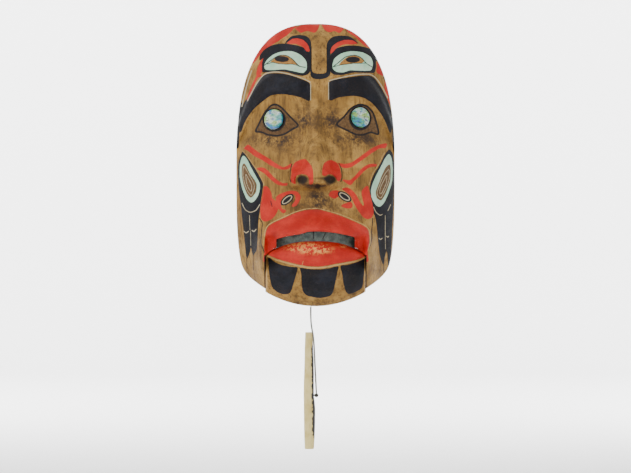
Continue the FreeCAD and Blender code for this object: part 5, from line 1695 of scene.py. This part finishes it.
class WhittledStick:
    """Pale stick with whittled flats and a dark strip of painted shade down its right side."""

    CUTS = [(0.0, 0.70, 0.1), (0.012, 0.72, 0.05), (0.05, 0.71, -0.1), (0.14, 0.79, -0.1),
            (0.24, 0.85, 0.0), (0.34, 0.9, 0.0), (0.45, 0.95, -0.15), (0.55, 0.97, -0.2),
            (0.60, 1.03, 0.2), (0.66, 1.07, 0.6), (0.8, 1.03, 0.65), (0.9, 0.96, 0.5),
            (0.985, 0.87, 0.3), (1.0, 0.82, 0.3)]
    SIDES = 9
    TOP_Z = -331.2
    LENGTH = 128.2
    MIDDLE_X = -7.2
    MIDDLE_Y = -50.6

    def __init__(self, palette: Palette) -> None:
        """Keeps the materials.

        Args:
            palette: all the materials.
        """
        self.palette = palette

    def _ring(self, share: float, swell: float, shift: float, number: int) -> List[Vector]:
        """Corners of one cross-section."""
        z = self.TOP_Z - self.LENGTH * share
        corners = []
        for index in range(self.SIDES):
            angle = 2 * math.pi * (index + 0.25) / self.SIDES
            nick = 0.015 * math.sin(index * 2.4 + number * 1.7)
            reach = 6.1 * swell * (1.0 + 0.02 * math.cos(3 * angle) + nick)
            corners.append(Vector((self.MIDDLE_X + shift + reach * math.cos(angle),
                                   self.MIDDLE_Y + 0.92 * reach * math.sin(angle), z)) * MM)
        return corners

    def build(self) -> bpy.types.Object:
        """Makes the stick.

        Returns:
            The object.
        """
        bm = bmesh.new()
        made = bmesh.ops.create_circle(bm, cap_ends=True, segments=self.SIDES, radius=1.0)
        ring = list(made["verts"])
        for vert, place in zip(ring, self._ring(*self.CUTS[0], 0)):
            vert.co = place
        edges = [e for e in bm.edges]
        for number, cut in enumerate(self.CUTS[1:], start=1):
            grown = bmesh.ops.extrude_edge_only(bm, edges=edges)["geom"]
            fresh = {g for g in grown if isinstance(g, bmesh.types.BMVert)}
            edges = [g for g in grown if isinstance(g, bmesh.types.BMEdge)
                     and g.verts[0] in fresh and g.verts[1] in fresh]
            places = self._ring(*cut, number)
            following = []
            for vert, place in zip(ring, places):
                after = next(e.other_vert(vert) for e in vert.link_edges
                             if e.other_vert(vert) in fresh)
                following.append(after)
                after.co = place
            ring = following
        bmesh.ops.edgeloop_fill(bm, edges=edges)
        bmesh.ops.recalc_face_normals(bm, faces=list(bm.faces))
        rim = [e for e in bm.edges if e.calc_face_angle(0.0) > 0.2]
        bmesh.ops.bevel(bm, geom=rim, offset=0.35 * MM, segments=1, profile=0.5,
                        affect="EDGES", material=-1)
        # painted shade: strongest where a point faces right and forward, faded at both ends
        right_side_shade = bm.verts.layers.float.new("right_side_shade")
        for vert in bm.verts:
            offset = Vector((vert.co.x / MM - self.MIDDLE_X, vert.co.y / MM - self.MIDDLE_Y))
            toward = offset.normalized().dot(Vector((0.95, -0.31)))
            share = (self.TOP_Z - vert.co.z / MM) / self.LENGTH
            fade = min(1.0, max(0.0, 9.0 * share)) * min(1.0, max(0.0, 6.0 * (1.05 - share)))
            vert[right_side_shade] = max(0.0, toward) * fade
        item = finish_mesh("whittled_stick", bm, self.palette.stick, 12.0)
        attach(item, Body.STICK.value)
        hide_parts("pull_handle")
        return item


# ------------------------------------------------------------------------ stage
class Studio:
    """Pale floor that curves up behind, soft lights and the camera."""

    AIM = Vector((0.0, -0.06, -0.2262))
    DISTANCE = 3.6
    FRAME_WIDTH = 0.691

    def build(self) -> None:
        """Makes the stage."""
        self._backdrop()
        self._lights()
        self._camera()

    @staticmethod
    def _backdrop() -> None:
        """Floor and far wall in one sweep."""
        bm = bmesh.new()
        profile = [(-14.0, -0.62), (5.8, -0.62)]
        for index in range(1, 13):
            turn = math.pi / 2 * index / 12
            profile.append((5.8 + 1.2 * math.sin(turn), -0.62 + 1.2 * (1 - math.cos(turn))))
        profile.append((7.0, 6.0))
        verts = [bm.verts.new((-12.0, y, z)) for y, z in profile]
        edges = [bm.edges.new(pair) for pair in zip(verts, verts[1:])]
        grown = bmesh.ops.extrude_edge_only(bm, edges=edges)["geom"]
        moved = [g for g in grown if isinstance(g, bmesh.types.BMVert)]
        bmesh.ops.translate(bm, vec=(24.0, 0.0, 0.0), verts=moved)
        bmesh.ops.recalc_face_normals(bm, faces=list(bm.faces))
        material = bpy.data.materials.new("pale backdrop")
        material.use_nodes = True
        tree = Tree(material.node_tree)
        shader = material.node_tree.nodes["Principled BSDF"]
        shader.inputs["Base Color"].default_value = tint(250, 250, 250)
        shader.inputs["Roughness"].default_value = 0.9
        item = finish_mesh("backdrop", bm, material, 60.0)

    @staticmethod
    def _lights() -> None:
        """Soft key from the upper left, weaker lights, a wash on the far wall and a pale world."""
        for name, place, size, power in (("key", (-1.5, -2.0, 1.1), 1.6, 34.0),
                                         ("fill", (1.9, -1.8, 0.2), 2.2, 5.0),
                                         ("top", (0.0, -0.4, 2.2), 2.0, 10.0),
                                         ("rear", (-0.8, 1.6, 1.2), 1.6, 10.0),
                                         ("wash left", (-2.6, 3.4, 1.2), 2.0, 420.0),
                                         ("wash right", (2.6, 3.4, 1.2), 2.0, 420.0)):
            data = bpy.data.lights.new(name, "AREA")
            data.size = size
            data.energy = power
            lamp = bpy.data.objects.new(name, data)
            lamp.location = place
            target = Vector((0.0, 7.0, -0.3)) if "wash" in name else Vector((0.0, -0.05, -0.18))
            aim = target - Vector(place)
            lamp.rotation_euler = aim.to_track_quat("-Z", "Y").to_euler()
            bpy.context.scene.collection.objects.link(lamp)
        world = bpy.data.worlds.new("pale world")
        world.use_nodes = True
        world.node_tree.nodes["Background"].inputs[0].default_value = (1.0, 1.0, 1.0, 1.0)
        world.node_tree.nodes["Background"].inputs[1].default_value = 1.0
        bpy.context.scene.world = world

    def _camera(self) -> None:
        """Camera straight in front, at the mask's own height."""
        data = bpy.data.cameras.new("front view")
        data.sensor_width = 36.0
        data.lens = 36.0 * self.DISTANCE / self.FRAME_WIDTH
        data.clip_end = 50.0
        camera = bpy.data.objects.new("front view", data)
        camera.location = self.AIM + Vector((0.0, -self.DISTANCE, 0.0))
        camera.rotation_euler = (math.pi / 2, 0.0, 0.0)
        bpy.context.scene.collection.objects.link(camera)
        bpy.context.scene.camera = camera


def main() -> None:
    """Builds every part of the picture in turn."""
    logging.basicConfig(level=logging.INFO)
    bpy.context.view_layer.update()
    palette = Palette()
    MaskShell(palette).build()
    EyeDiscs(palette).build()
    LowerJaw(palette).build()
    Mechanism(palette).build()
    WhittledStick(palette).build()
    PullCord(palette).build()
    Studio().build()
    LOG.info("built")


if __name__ == "__main__":
    main()
